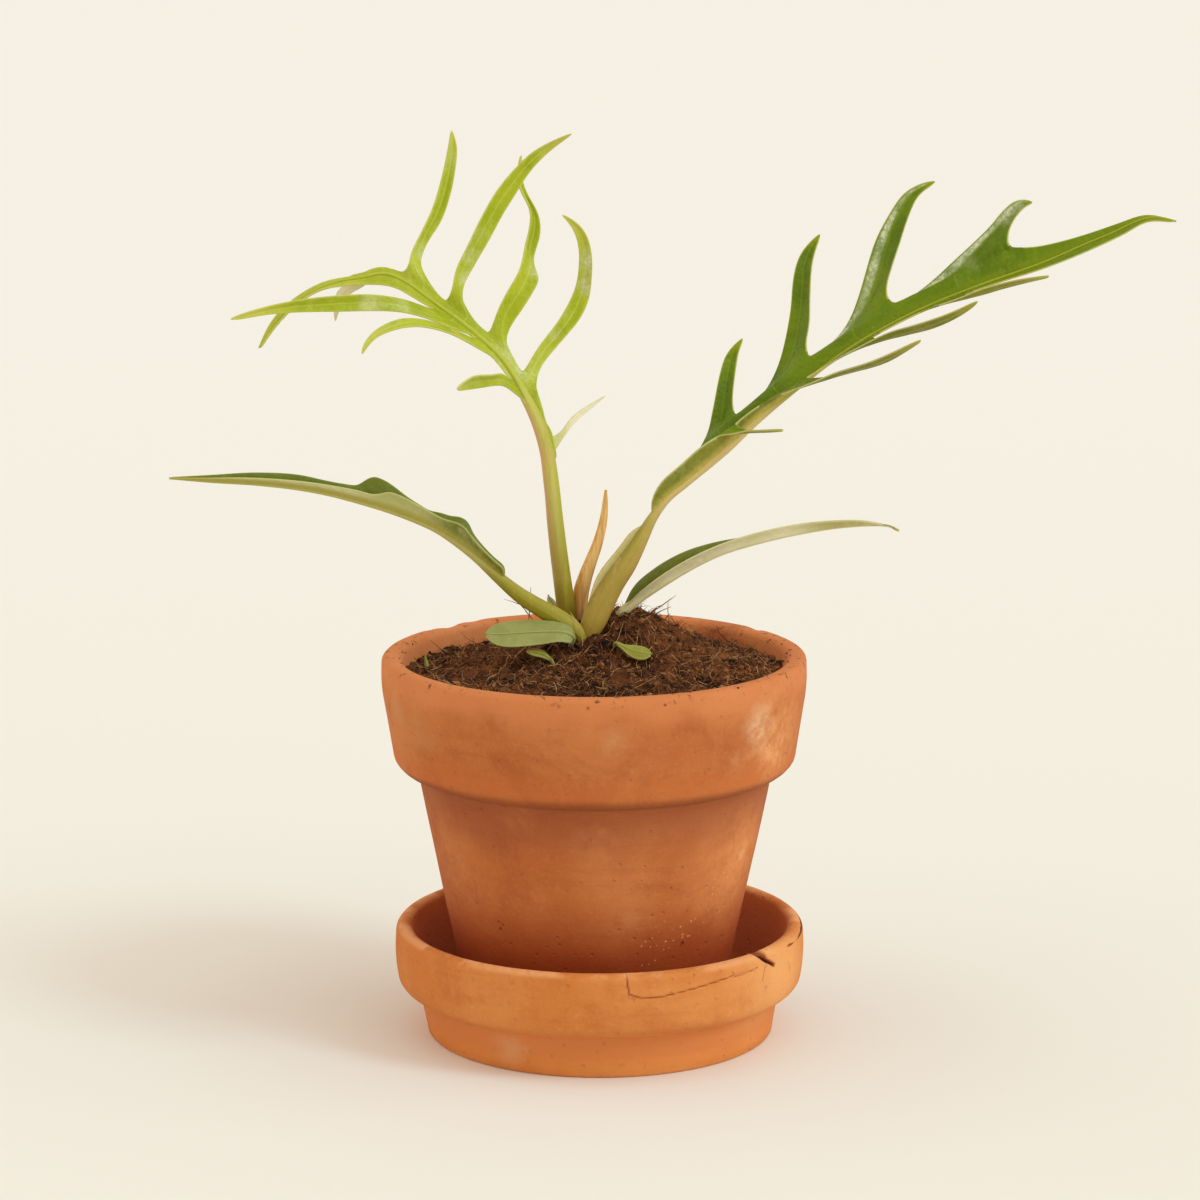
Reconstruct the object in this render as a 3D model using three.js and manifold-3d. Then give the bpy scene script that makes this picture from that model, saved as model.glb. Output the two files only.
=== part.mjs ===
// A young Philodendron tortum in a small clay pot, standing on a clay saucer.
// Millimetres, +Z up. The origin is the centre of the saucer's foot, on the surface it stands on.
// +X is to the right, and -Y is towards the viewer, who sees the plant from the front.

import * as THREE from "three";
import { mergeVertices } from "three/addons/utils/BufferGeometryUtils.js";
import Module from "manifold-3d";

const wasm = await Module();
wasm.setup();

// Driving dimensions of the clay ware
const GAP = 0.3;
const CLAY_SEGMENTS = 56;
const SAUCER_RIM_RADIUS = 53.7;
const SAUCER_FOOT_RADIUS = 44.5;
const SAUCER_HEIGHT = 29.2;
const SAUCER_FLOOR = 6;
const POT_RIM_RADIUS = 55.1;
const POT_HEIGHT = 93.7;
const POT_BASE_RADIUS = 33.2;
const POT_FLOOR = 7;
const POT_LIP_HEIGHT = 91.4;
const POT_INNER_RIM_RADIUS = 49.8;
const POT_INNER_BASE_RADIUS = 28.5;
const POT_CORNER = 2;
const DRAIN_RADIUS = 6;
const POT_OFFSET_X = -1.4;
const POT_BASE_Z = SAUCER_FLOOR + GAP;

// Driving dimensions of the soil
const SOIL_SEGMENTS = 44;
const SOIL_RINGS = 11;
const SOIL_CLEARANCE = 0.45;
const SOIL_EDGE_Z = 96;
const SOIL_BACK_DROP = 1.6;
const MOUND_HEIGHT = 14.5;
const MOUND_X = 5;
const MOUND_Y = 5;
const MOUND_SPREAD_X = 17;
const MOUND_SPREAD_Y = 15;
const CLOD_HEIGHT = 0.7;

// Driving dimensions of the foliage
const BLADE_THICKNESS = 0.7;
const STALK_SIDES = 8;
const STALK_STEP = 5;
const STRIP_STEP = 4;
const LOBE_ROWS = 8;
const LOBE_COLUMNS = 2;
const LOBE_FLARE = 0.3;
const LOBE_FOLD = 0.2;

// Directions: a leaf heads left or right, and each side of its blade lies towards or away from the viewer
const RIGHT = 1;
const LEFT = -1;
const TOWARDS = 1;
const AWAY = -1;

const object = new THREE.Group();

// Solids and meshes

function solidOf(geometry) {
  const bare = geometry.clone();
  bare.deleteAttribute("normal");
  bare.deleteAttribute("uv");
  const merged = mergeVertices(bare, 1e-4);
  return new wasm.Manifold(new wasm.Mesh({
    numProp: 3,
    vertProperties: Float32Array.from(merged.attributes.position.array),
    triVerts: Uint32Array.from(merged.index.array),
  }));
}

function geometryOf(solid) {
  const mesh = solid.getMesh();
  const geometry = new THREE.BufferGeometry();
  geometry.setAttribute("position", new THREE.BufferAttribute(mesh.vertProperties, 3));
  geometry.setIndex(new THREE.BufferAttribute(mesh.triVerts, 1));
  return geometry;
}

// The one body of a fused solid: scraps that came loose are dropped, and sealed pockets are filled
function oneBody(solid) {
  const bodies = solid.decompose();
  return bodies.reduce((largest, body) => (body.volume() > largest.volume() ? body : largest));
}

function addNode(name, solid, material) {
  const mesh = new THREE.Mesh(geometryOf(oneBody(solid)), material);
  mesh.name = name;
  object.add(mesh);
  return mesh;
}

function finish(color, roughness) {
  return new THREE.MeshStandardMaterial({ color, roughness, metalness: 0 });
}

// Clay: thrown rings turned from their wall's outline, given as radius and height

function turned(outline, segments) {
  const points = outline.map(([radius, height]) => new THREE.Vector2(radius, height));
  const geometry = new THREE.LatheGeometry(points, segments);
  geometry.rotateX(Math.PI / 2);
  return geometry;
}

// The saucer: a flat foot, a stepped wall with a thick band, and a straight inner taper
const saucerOutline = [
  [0, 0],
  [SAUCER_FOOT_RADIUS - 1, 0],
  [SAUCER_FOOT_RADIUS, 0.9],
  [46.6, 11.2],
  [47.6, 12.4],
  [51.2, 12.7],
  [52.7, 14.1],
  [53.4, 17.5],
  [SAUCER_RIM_RADIUS, 21],
  [53.2, 27.4],
  [52.5, 28.7],
  [51.3, SAUCER_HEIGHT],
  [50.1, 28.9],
  [49.3, 27.9],
  [40.8, 7.4],
  [39.4, SAUCER_FLOOR],
  [0, SAUCER_FLOOR],
];

// The pot: a tapered body under a thick rim band, a drainage hole in its floor
const potOutline = [
  [DRAIN_RADIUS, 0],
  [POT_BASE_RADIUS - 1.3, 0],
  [POT_BASE_RADIUS, 1.2],
  [45.2, 57.7],
  [46.4, 63.6],
  [47.6, 65.2],
  [51, 65.5],
  [52.4, 66.9],
  [53, 69.7],
  [54.6, 80.7],
  [POT_RIM_RADIUS, 89],
  [54.9, 91.2],
  [54, 93],
  [52.6, POT_HEIGHT],
  [51.2, 93.4],
  [50.2, 92.6],
  [POT_INNER_RIM_RADIUS, POT_LIP_HEIGHT],
  [POT_INNER_BASE_RADIUS, POT_FLOOR + POT_CORNER],
  [POT_INNER_BASE_RADIUS - POT_CORNER, POT_FLOOR],
  [DRAIN_RADIUS, POT_FLOOR],
  [DRAIN_RADIUS, 0],
];

// Knocks in the rims: a worn nick at the pot's back left, and a small chip in the saucer's front right
const nickSize = new THREE.Vector3(9, 5, 1.6);
const nickAngle = THREE.MathUtils.degToRad(140);
const chipSize = new THREE.Vector3(2.2, 3.2, 2.6);
const chipAngle = THREE.MathUtils.degToRad(-39);

function knock(size, angle, radius, height) {
  const stone = new THREE.IcosahedronGeometry(1, 1);
  stone.scale(size.y, size.x, size.z);
  stone.rotateZ(angle);
  stone.translate(radius * Math.cos(angle), radius * Math.sin(angle), height);
  return solidOf(stone);
}

const clayPale = finish(0xd9894f, 0.85);
const clay = finish(0xc07447, 0.85);

const saucerSolid = solidOf(turned(saucerOutline, CLAY_SEGMENTS))
  .subtract(knock(chipSize, chipAngle, 52.2, SAUCER_HEIGHT));
addNode("saucer", saucerSolid, clayPale);

const potSolid = solidOf(turned(potOutline, CLAY_SEGMENTS))
  .subtract(knock(nickSize, nickAngle, 54, POT_HEIGHT + 0.6))
  .translate([POT_OFFSET_X, 0, POT_BASE_Z]);
addNode("pot", potSolid, clay);

// Leaves: a round stalk that runs on as the midrib, and a blade that spreads from it on two sides.
// A blade's side is a strip along the midrib, and its lobes are drawn out from the strip's edge.
// Distances along a midrib are in millimetres from its first point.

function curveThrough(points) {
  return new THREE.CatmullRomCurve3(points.map((point) => new THREE.Vector3(...point)), false, "centripetal");
}

// Value at a distance, from rows of [distance, value, value...], eased between the rows
function blend(rows, distance, column) {
  if (distance <= rows[0][0]) {
    return rows[0][column];
  }
  for (let i = 1; i < rows.length; i += 1) {
    if (distance <= rows[i][0]) {
      const share = THREE.MathUtils.smoothstep(distance, rows[i - 1][0], rows[i][0]);
      return THREE.MathUtils.lerp(rows[i - 1][column], rows[i][column], share);
    }
  }
  return rows[rows.length - 1][column];
}

// A frame on the midrib, which runs straight on past its two ends: "front" points towards the viewer,
// and "up" out of the leaf's upper face
function frameAt(curve, distance, heading) {
  const length = curve.getLength();
  const inside = THREE.MathUtils.clamp(distance, 0, length);
  const point = curve.getPointAt(inside / length);
  const along = curve.getTangentAt(inside / length);
  point.addScaledVector(along, distance - inside);
  const front = new THREE.Vector3(0, -1, 0);
  front.addScaledVector(along, -front.dot(along)).normalize();
  const up = new THREE.Vector3().crossVectors(front, along).multiplyScalar(heading);
  return { point, along, front, up };
}

// A round stalk: a cylinder bent along the curve, with its radius from rows of [distance, radius]
function stalk(curve, radii, grow) {
  const length = radii[radii.length - 1][0];
  const steps = Math.ceil(length / STALK_STEP);
  const cylinder = new THREE.CylinderGeometry(1, 1, 1, STALK_SIDES, steps);
  const position = cylinder.attributes.position;
  for (let i = 0; i < position.count; i += 1) {
    const distance = THREE.MathUtils.lerp(-grow, length + grow, position.getY(i) + 0.5);
    const { point, front, up } = frameAt(curve, distance, 1);
    const radius = blend(radii, distance, 1) + grow;
    point.addScaledVector(front, position.getX(i) * radius);
    point.addScaledVector(up, position.getZ(i) * radius);
    position.setXYZ(i, point.x, point.y, point.z);
  }
  return solidOf(cylinder);
}

// A closed plate of even thickness from sheets, each a grid of points in rows of equal length
function plate(sheets, thickness) {
  const corners = [];
  for (const rows of sheets) {
    for (let r = 1; r < rows.length; r += 1) {
      for (let c = 1; c < rows[r].length; c += 1) {
        const [a, b] = [rows[r - 1][c - 1], rows[r - 1][c]];
        const [d, e] = [rows[r][c - 1], rows[r][c]];
        corners.push(a, b, e, a, e, d);
      }
    }
  }
  const middle = mergeVertices(new THREE.BufferGeometry().setFromPoints(corners), 1e-3);
  middle.computeVertexNormals();
  const { position, normal } = middle.attributes;
  const triangles = [];
  for (let i = 0; i < middle.index.count; i += 3) {
    const triangle = [middle.index.getX(i), middle.index.getX(i + 1), middle.index.getX(i + 2)];
    if (new Set(triangle).size === 3) {
      triangles.push(triangle);
    }
  }

  const points = [];
  for (const side of [0.5, -0.5]) {
    for (let i = 0; i < position.count; i += 1) {
      const point = new THREE.Vector3().fromBufferAttribute(position, i);
      const outward = new THREE.Vector3().fromBufferAttribute(normal, i);
      points.push(point.addScaledVector(outward, side * thickness));
    }
  }
  const under = position.count;
  const edges = new Set(triangles.flatMap(([a, b, c]) => [`${a},${b}`, `${b},${c}`, `${c},${a}`]));
  const index = [];
  for (const [a, b, c] of triangles) {
    index.push(a, b, c, under + a, under + c, under + b);
  }
  for (const edge of edges) {
    const [a, b] = edge.split(",").map(Number);
    if (!edges.has(`${b},${a}`)) {
      index.push(b, a, under + a, b, under + a, under + b);
    }
  }
  const shell = new THREE.BufferGeometry().setFromPoints(points);
  shell.setIndex(index);
  return shell;
}

// Where a blade's edge lies beside the midrib; rows of spread are [distance, width, lift in degrees]
function edgeAt(leaf, side, distance, share) {
  const { point, front, up } = frameAt(leaf.curve, distance, leaf.heading);
  const width = (blend(side.spread, distance, 1) + side.grow) * share;
  const lift = THREE.MathUtils.degToRad(blend(side.spread, distance, 2));
  point.addScaledVector(front, side.towards * width * Math.cos(lift));
  point.addScaledVector(up, width * Math.sin(lift));
  return point;
}

// Distances at which the strip has a station: the lobes' feet in equal parts, and even steps between
function stations(side) {
  const first = side.spread[0][0];
  const last = side.spread[side.spread.length - 1][0];
  const fixed = [first];
  for (const lobe of side.lobes) {
    for (let c = 0; c <= LOBE_COLUMNS; c += 1) {
      fixed.push(THREE.MathUtils.lerp(lobe.from, lobe.to, c / LOBE_COLUMNS));
    }
  }
  fixed.push(last);
  const all = [first];
  for (let i = 1; i < fixed.length; i += 1) {
    const [low, high] = [fixed[i - 1], fixed[i]];
    const inLobe = side.lobes.some((lobe) => low >= lobe.from && high <= lobe.to);
    const parts = inLobe ? 1 : Math.max(1, Math.round((high - low) / STRIP_STEP));
    for (let part = 1; part <= parts; part += 1) {
      all.push(THREE.MathUtils.lerp(low, high, part / parts));
    }
  }
  return all;
}

// A lobe: from its foot on the strip's edge, along its own midline to a narrow tip, with its width
// from rows of [share of its length, width]. Its foot flares, which rounds the bays between lobes.
function lobeSheet(leaf, side, lobe) {
  const foot = [];
  for (let c = 0; c <= LOBE_COLUMNS; c += 1) {
    foot.push(edgeAt(leaf, side, THREE.MathUtils.lerp(lobe.from, lobe.to, c / LOBE_COLUMNS), 1));
  }
  const root = new THREE.Vector3().addVectors(foot[0], foot[LOBE_COLUMNS]).multiplyScalar(0.5);
  const midline = curveThrough([root.toArray(), ...lobe.path]);
  const footSpan = new THREE.Vector3().subVectors(foot[LOBE_COLUMNS], foot[0]);
  const face = new THREE.Vector3().crossVectors(midline.getTangentAt(0.3), footSpan).normalize();
  const rows = [foot];
  for (let r = 1; r <= LOBE_ROWS; r += 1) {
    const share = r / LOBE_ROWS;
    const centre = midline.getPointAt(share);
    const along = midline.getTangentAt(share);
    const turn = THREE.MathUtils.degToRad((lobe.twist ?? 0) * share);
    const turnedFace = face.clone().applyAxisAngle(along, turn);
    const across = new THREE.Vector3().crossVectors(turnedFace, along).normalize();
    const halfWidth = blend(lobe.widths, share, 1) / 2 + side.grow;
    const flare = Math.max(0, 1 - share / LOBE_FLARE) ** 2;
    const row = [];
    for (let c = 0; c <= LOBE_COLUMNS; c += 1) {
      const place = (2 * c) / LOBE_COLUMNS - 1;
      const narrow = across.clone().multiplyScalar(place * halfWidth);
      narrow.addScaledVector(turnedFace, LOBE_FOLD * halfWidth * place * place);
      const wide = new THREE.Vector3().subVectors(foot[c], root);
      row.push(centre.clone().add(narrow.lerp(wide, flare)));
    }
    rows.push(row);
  }
  return rows;
}

// One side of a lobed blade
function lobedSide(leaf, side, grow) {
  const grown = { ...side, grow };
  const all = stations(side);
  const strip = [0, 1].map((share) => all.map((distance) => edgeAt(leaf, grown, distance, share)));
  const sheets = [strip, ...side.lobes.map((lobe) => lobeSheet(leaf, grown, lobe))];
  if (side.towards * leaf.heading < 0) {
    sheets.forEach((sheet) => sheet.reverse());
  }
  return solidOf(plate(sheets, BLADE_THICKNESS + 2 * grow));
}

// A blade without lobes, both sides in one plate
function plainBlade(leaf, grow) {
  const { away, towards, step } = leaf.blade;
  const [first, last] = [away[0][0], away[away.length - 1][0]];
  const steps = Math.round((last - first) / step);
  const far = { towards: AWAY, spread: away, grow };
  const near = { towards: TOWARDS, spread: towards, grow };
  const rows = [[far, 1], [far, 0.5], [far, 0], [near, 0.5], [near, 1]];
  const sheet = rows.map(([side, share]) => Array.from({ length: steps + 1 }, (_, i) => {
    const distance = THREE.MathUtils.lerp(first, last, i / steps);
    return edgeAt(leaf, side, distance, share);
  }));
  if (leaf.heading < 0) {
    sheet.reverse();
  }
  return solidOf(plate([sheet], BLADE_THICKNESS + 2 * grow));
}

function leafSolid(leaf, grow) {
  const curved = { ...leaf, curve: curveThrough(leaf.midrib) };
  let solid = stalk(curved.curve, leaf.stalk, grow);
  for (const side of leaf.sides ?? []) {
    solid = solid.add(lobedSide(curved, side, grow));
  }
  if (leaf.blade) {
    solid = solid.add(plainBlade(curved, grow));
  }
  return solid;
}

// The mature leaf: a stout stalk with a sheath, arching up to the right, and a dark lobed blade.
// Its far half stands up and faces the viewer, its near half lies level and is seen edge on.
// The stalk's foot is the plant's short stem, which stands in the soil.
const matureLeaf = {
  heading: RIGHT,
  midrib: [
    [-3.5, -0.5, 90], [-3.4, -0.8, 102], [-2.4, -1.5, 108.5], [0.4, -2, 113.5], [3.1, -2, 118],
    [6.6, -2, 124], [10.4, -2, 130.8], [13.7, -2, 136.8], [17.4, -2, 141.4], [21.8, -2, 145],
    [31.4, -1, 153], [41, 0, 162], [53, 1, 171.6], [63.8, 2, 179.5], [81.3, 3, 189.2],
    [96.8, 4, 195.5], [112.4, 5, 201], [129, 6, 208], [143, 7, 211.8], [147, 7, 210.4],
  ],
  stalk: [
    [0, 4.2], [13, 3.4], [19, 3], [28, 2.2], [45, 1.6], [60, 1.5], [80, 1.3], [110, 1],
    [150, 0.7], [206, 0.45],
  ],
  sides: [
    {
      towards: AWAY,
      spread: [[22, 3, 80], [30, 4.6, 80], [40, 4, 80], [46, 3, 80], [48.5, 1, 80]],
      lobes: [],
    },
    {
      towards: AWAY,
      spread: [
        [52, 1, 70], [55, 2.9, 68], [66, 4, 66], [82, 4.8, 64], [91, 3.8, 64], [104, 5, 64],
        [114, 4.2, 64], [130, 5, 64], [140, 5.4, 64], [164, 6, 62], [176, 3.2, 60],
        [192, 2, 60], [206, 0.5, 60],
      ],
      lobes: [
        {
          from: 69, to: 81, path: [[31.8, 5, 165], [34.3, 9, 176.4], [36.9, 11, 181.4]],
          widths: [[0, 4.6], [0.45, 4], [1, 0.6]],
        },
        {
          from: 91, to: 104, path: [[50, 5, 179.6], [51.8, 11, 196], [53.7, 14, 203.3], [56.7, 16, 207.7]],
          widths: [[0, 6], [0.3, 4.8], [0.6, 4.4], [1, 0.6]],
        },
        {
          from: 114, to: 130,
          path: [[69.4, 5, 191.8], [74, 12, 208.2], [77.4, 14, 214.9], [82, 15.5, 219.8], [87, 16, 221.2]],
          widths: [[0, 8], [0.25, 6.4], [0.55, 5], [0.8, 3.4], [1, 0.6]],
        },
        {
          from: 142, to: 164,
          path: [[98.6, 7, 205], [102.5, 9, 210.6], [106.4, 11, 214.8], [111.2, 12, 216.1]],
          widths: [[0, 9], [0.4, 6.6], [0.7, 4.4], [1, 0.8]],
        },
      ],
    },
    {
      towards: TOWARDS,
      spread: [
        [52, 1, -14], [60, 2.6, -14], [78, 3, -14], [100, 3.4, -14], [140, 3.6, -14],
        [168, 3, -14], [192, 2, -14], [206, 0.5, -14],
      ],
      lobes: [
        {
          from: 71, to: 79, path: [[38.3, -6, 158.3], [46.7, -13, 160.7]],
          widths: [[0, 3.4], [0.5, 2.6], [1, 0.6]],
        },
        {
          from: 93, to: 104, path: [[62.2, -11, 175.3], [69.7, -19, 179.1], [80.5, -28, 186.6]],
          widths: [[0, 4.6], [0.6, 4.6], [1, 0.6]],
        },
        {
          from: 112, to: 124,
          path: [[74.8, -8, 184], [82.2, -15, 187.6], [89.8, -21, 191.9], [94.5, -26, 195.7]],
          widths: [[0, 5], [0.6, 5], [1, 0.6]],
        },
        {
          from: 140, to: 150, path: [[104.3, -8, 197.2], [113, -17, 200.2]],
          widths: [[0, 4.4], [0.6, 3.4], [1, 0.6]],
        },
      ],
    },
  ],
};

// The young leaf: an upright stalk that arches over to the left, with curled yellow-green lobes.
// Four lobes rise on the far side, three reach out on the near side, and one hangs behind.
const youngLeaf = {
  heading: LEFT,
  midrib: [
    [-7.6, 5.5, 95], [-8, 4.5, 104], [-8.8, 3, 113.9], [-9.8, 2, 122], [-11.3, 1, 135.2],
    [-12.3, 0, 145.8], [-13.4, 0, 153.6], [-15.3, 0, 160.1], [-18.6, 0, 166.8], [-24.7, 1, 176.7],
    [-33.5, 2, 184.7], [-43.7, 4, 192.2], [-49.4, 5, 196.3], [-54.4, 5, 198.6], [-61.5, 4, 197.6],
    [-67.6, 3, 196.7], [-73.7, 1, 194.2], [-79.1, 0, 190.5], [-83.1, -1, 186.2], [-86.9, -2, 180.3],
  ],
  stalk: [
    [0, 2.3], [18, 2.2], [35, 2], [52, 1.75], [66, 1.5], [76, 1.2], [90, 1], [110, 0.75],
    [130, 0.55], [162.5, 0.4],
  ],
  sides: [
    {
      towards: AWAY,
      spread: [
        [54, 0.8, 65], [60, 2.2, 65], [72, 2.4, 65], [105, 2.8, 65], [119, 2.4, 65],
        [126, 1.4, 65], [140, 1.2, 65], [156, 1.4, 65], [162.5, 0.5, 65],
      ],
      lobes: [
        {
          from: 58, to: 62, path: [[-8.8, 3, 158.7], [-2, 8, 164.5], [2, 11, 166.3]],
          widths: [[0, 1.6], [0.5, 1.1], [1, 0.6]],
        },
        {
          from: 73, to: 81,
          path: [
            [-15.6, 3, 177.6], [-12.3, 6, 182.5], [-8.8, 9, 187.1], [-5.8, 12, 192.1], [-4.3, 13, 200],
            [-5.7, 11, 208.9], [-9.8, 7, 213.2],
          ],
          widths: [[0, 3.6], [0.3, 4.6], [0.5, 3.4], [0.8, 2.6], [1, 0.6]],
          twist: 30,
        },
        {
          from: 84, to: 93,
          path: [
            [-23.3, 5, 189.6], [-20.2, 8, 195.4], [-17.3, 11, 202], [-16.5, 15, 210.5], [-17.5, 17, 215.1],
            [-20.4, 20, 221], [-20.2, 24, 227.3],
          ],
          widths: [[0, 4.4], [0.3, 5.6], [0.42, 5.4], [0.52, 2.4], [0.7, 2], [1, 0.6]],
        },
        {
          from: 97, to: 106,
          path: [
            [-36, 7, 197.4], [-33.9, 9, 201.5], [-31.6, 11, 206.2], [-24.7, 15, 218.1], [-19.8, 16, 223.9],
            [-13.6, 16, 229.3], [-6.7, 15, 233.7],
          ],
          widths: [[0, 3.6], [0.4, 4.2], [0.7, 3], [1, 0.6]],
          twist: 20,
        },
        {
          from: 109.5, to: 119,
          path: [
            [-46.2, 9, 203.6], [-43.9, 12, 208.4], [-41.2, 15, 214.7], [-38.4, 18, 225], [-38.1, 18, 234.7],
          ],
          widths: [[0, 4], [0.35, 2.6], [0.7, 2.4], [1, 0.6]],
        },
        {
          from: 126, to: 132,
          path: [[-61, 9, 195.4], [-64.1, 12, 193.2], [-66.8, 15, 189.6], [-68.2, 17, 186.3]],
          widths: [[0, 2.6], [0.6, 2], [1, 0.6]],
        },
      ],
    },
    {
      towards: TOWARDS,
      spread: [
        [66, 0.8, -20], [74, 1.6, -20], [100, 1.8, -20], [119, 1.6, -20], [140, 1.4, -20],
        [156, 1.4, -20], [162.5, 0.5, -20],
      ],
      lobes: [
        {
          from: 74, to: 80,
          path: [[-23.1, -5, 173], [-28.3, -13, 173.2], [-32.2, -19, 173.6], [-35.6, -25, 172.8]],
          widths: [[0, 3], [0.7, 4], [1, 1.2]],
          twist: -50,
        },
        {
          from: 88, to: 94,
          path: [
            [-35.4, -3, 184.1], [-41.9, -9, 187.2], [-49.5, -16, 188.6], [-55.5, -20, 186.6],
            [-58.6, -22.5, 184], [-59.7, -23, 180.8],
          ],
          widths: [[0, 2.6], [0.6, 2.6], [1, 0.6]],
        },
        {
          from: 96, to: 107,
          path: [
            [-44.7, -6, 190.8], [-52, -10, 192.6], [-66.4, -16, 193.3], [-81.4, -21, 192.5],
            [-92.8, -25, 190.2],
          ],
          widths: [[0, 3.6], [0.35, 4.4], [0.6, 3.4], [1, 0.6]],
          twist: -35,
        },
      ],
    },
  ],
};

// The low strap leaf on the left: folded like a keel, with a waved far margin
const strapLeafLeft = {
  heading: LEFT,
  midrib: [
    [-8, -6, 96], [-7, -6.3, 103], [-8, -6.6, 108.6], [-13.9, -6, 112.9], [-19.8, -5.4, 116],
    [-24.4, -5, 120], [-34.4, -5, 128.7], [-41.8, -4, 133.5], [-49.3, -3, 136.7], [-60.3, -2, 140.2],
    [-71.4, -1, 142.9], [-86.1, 0, 144.8], [-101, 0, 145.6], [-110.7, 0, 146.3],
  ],
  stalk: [[0, 2], [20, 2], [34, 1.7], [42, 1.2], [60, 0.9], [100, 0.6], [126, 0.45]],
  blade: {
    step: 4,
    towards: [
      [36, 0.8, 60], [40, 3.6, 60], [50, 5.2, 58], [60, 5.4, 60], [70, 4.6, 56], [78, 5, 62],
      [90, 4, 60], [105, 2.4, 60], [118, 1.2, 60], [126, 0.5, 60],
    ],
    away: [
      [36, 0.8, 62], [38, 3.4, 68], [48, 5.6, 60], [56, 6.2, 72], [62, 5, 52], [70, 5.2, 52],
      [77, 7, 68], [82, 4.8, 50], [90, 4, 54], [105, 2.4, 58], [118, 1.2, 60], [126, 0.5, 60],
    ],
  },
};

// The low strap leaf on the right: a smooth folded blade that levels out and dips at its tip
const strapLeafRight = {
  heading: RIGHT,
  midrib: [
    [1, 5.5, 97], [1.4, 5, 104], [4.7, 4.4, 109.9], [9.6, 3.4, 112.9], [15.8, 2, 117.4], [23.8, 1, 122.4],
    [31.5, 0, 126.3], [39.4, 0, 128.8], [47.4, 0, 130.9], [55.1, 0, 132.5], [63.1, 0, 133.6],
    [70.8, 0, 133.8], [75.7, 0, 133.3], [77.8, 0, 131.7],
  ],
  stalk: [[0, 1.4], [14, 1.3], [22, 1], [50, 0.6], [93.5, 0.4]],
  blade: {
    step: 4,
    towards: [
      [16, 0.8, 50], [22, 2.2, 50], [40, 3.6, 52], [60, 4.2, 55], [72, 3.4, 55], [84, 1.4, 55],
      [93.5, 0.5, 55],
    ],
    away: [
      [16, 0.8, 44], [22, 4.2, 46], [32, 5.4, 48], [42, 4.6, 44], [56, 3.6, 38], [72, 2.6, 38],
      [84, 1.2, 45], [93.5, 0.5, 50],
    ],
  },
};

// The dry sheath of an older leaf, standing up between the stalks
const drySheath = {
  heading: RIGHT,
  midrib: [
    [-3.8, 7.4, 97], [-4.6, 6.6, 104], [-5.3, 5.6, 109.8], [-4.4, 5.2, 115], [-2.6, 5, 121.3],
    [-0.8, 5, 127.9], [0.5, 5, 134.5], [1, 4, 142.5],
  ],
  stalk: [[0, 1.5], [18, 1.5], [30, 1.25], [38, 0.8], [46.5, 0.5]],
};

// A small flat leaf, rolled about its midrib towards the viewer, with rows of [distance, half width]
function rolledBlade(roll, step, rows) {
  return {
    step,
    towards: rows.map(([distance, width]) => [distance, width, -roll]),
    away: rows.map(([distance, width]) => [distance, width, roll]),
  };
}

// The small rounded leaf at the front left, with its base folded down
const smallLeafLeft = {
  heading: LEFT,
  midrib: [
    [-9.4, -13, 97], [-9, -13.2, 103], [-9.6, -13, 106.6], [-13, -12.4, 108.3], [-18, -12, 108.6],
    [-24, -11.6, 108.6], [-29.2, -11, 108.3],
  ],
  stalk: [[0, 0.9], [9, 0.9], [14, 0.7], [29.9, 0.45]],
  blade: rolledBlade(35, 2.6, [[8.5, 0.6], [13, 3], [21, 4.4], [26, 3.6], [29, 1.6], [29.9, 0.6]]),
};

// A greener leaflet under it, its foot in the soil
const smallLeafUnder = {
  heading: LEFT,
  midrib: [[-12, -14.5, 97], [-12.4, -14.6, 102.6], [-14.6, -14.4, 104.4], [-18.9, -14, 104.6]],
  stalk: [[0, 0.7], [7, 0.6], [12.6, 0.45]],
  blade: rolledBlade(30, 1.6, [[6.4, 0.5], [9, 1.8], [11.6, 1.3], [12.6, 0.5]]),
};

// The small spoon-shaped leaf at the front right, on a thin stalk
const smallLeafRight = {
  heading: RIGHT,
  midrib: [
    [1.8, -9, 98], [2.4, -9.2, 104.8], [4.6, -9.6, 106.4], [7.4, -10.6, 106], [10.3, -11.6, 105],
    [13.1, -12.6, 104.2],
  ],
  stalk: [[0, 0.7], [9, 0.6], [18.6, 0.45]],
  blade: rolledBlade(30, 1.8, [[8, 0.5], [11, 1.1], [15.5, 2.1], [18, 1.3], [18.6, 0.5]]),
};

// A small greyish leaf at the back of the plant
const smallLeafBack = {
  heading: LEFT,
  midrib: [[-11, 9, 97], [-10.6, 9.4, 104.5], [-11.6, 10, 109], [-13.8, 11, 112.6]],
  stalk: [[0, 0.8], [8, 0.7], [16.3, 0.45]],
  blade: rolledBlade(10, 1.9, [[7, 0.5], [11, 2], [15, 1.4], [16.3, 0.5]]),
};

// A thin green sprout at the soil's left edge
const sprout = {
  heading: LEFT,
  midrib: [[-44.2, -2, 91], [-44.5, -2, 95], [-44.9, -2, 98], [-45.3, -2.4, 100.6]],
  stalk: [[0, 0.6], [6, 0.7], [9.8, 0.35]],
};

const leafDark = finish(0x4d7a1e, 0.4);
const leafYoung = finish(0xa3bd2c, 0.45);
const leafOlive = finish(0x8b9a4c, 0.5);
const leafGrey = finish(0x8ea86a, 0.5);
const leafFresh = finish(0x86a63c, 0.5);
const dry = finish(0xc08a4a, 0.7);

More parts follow.
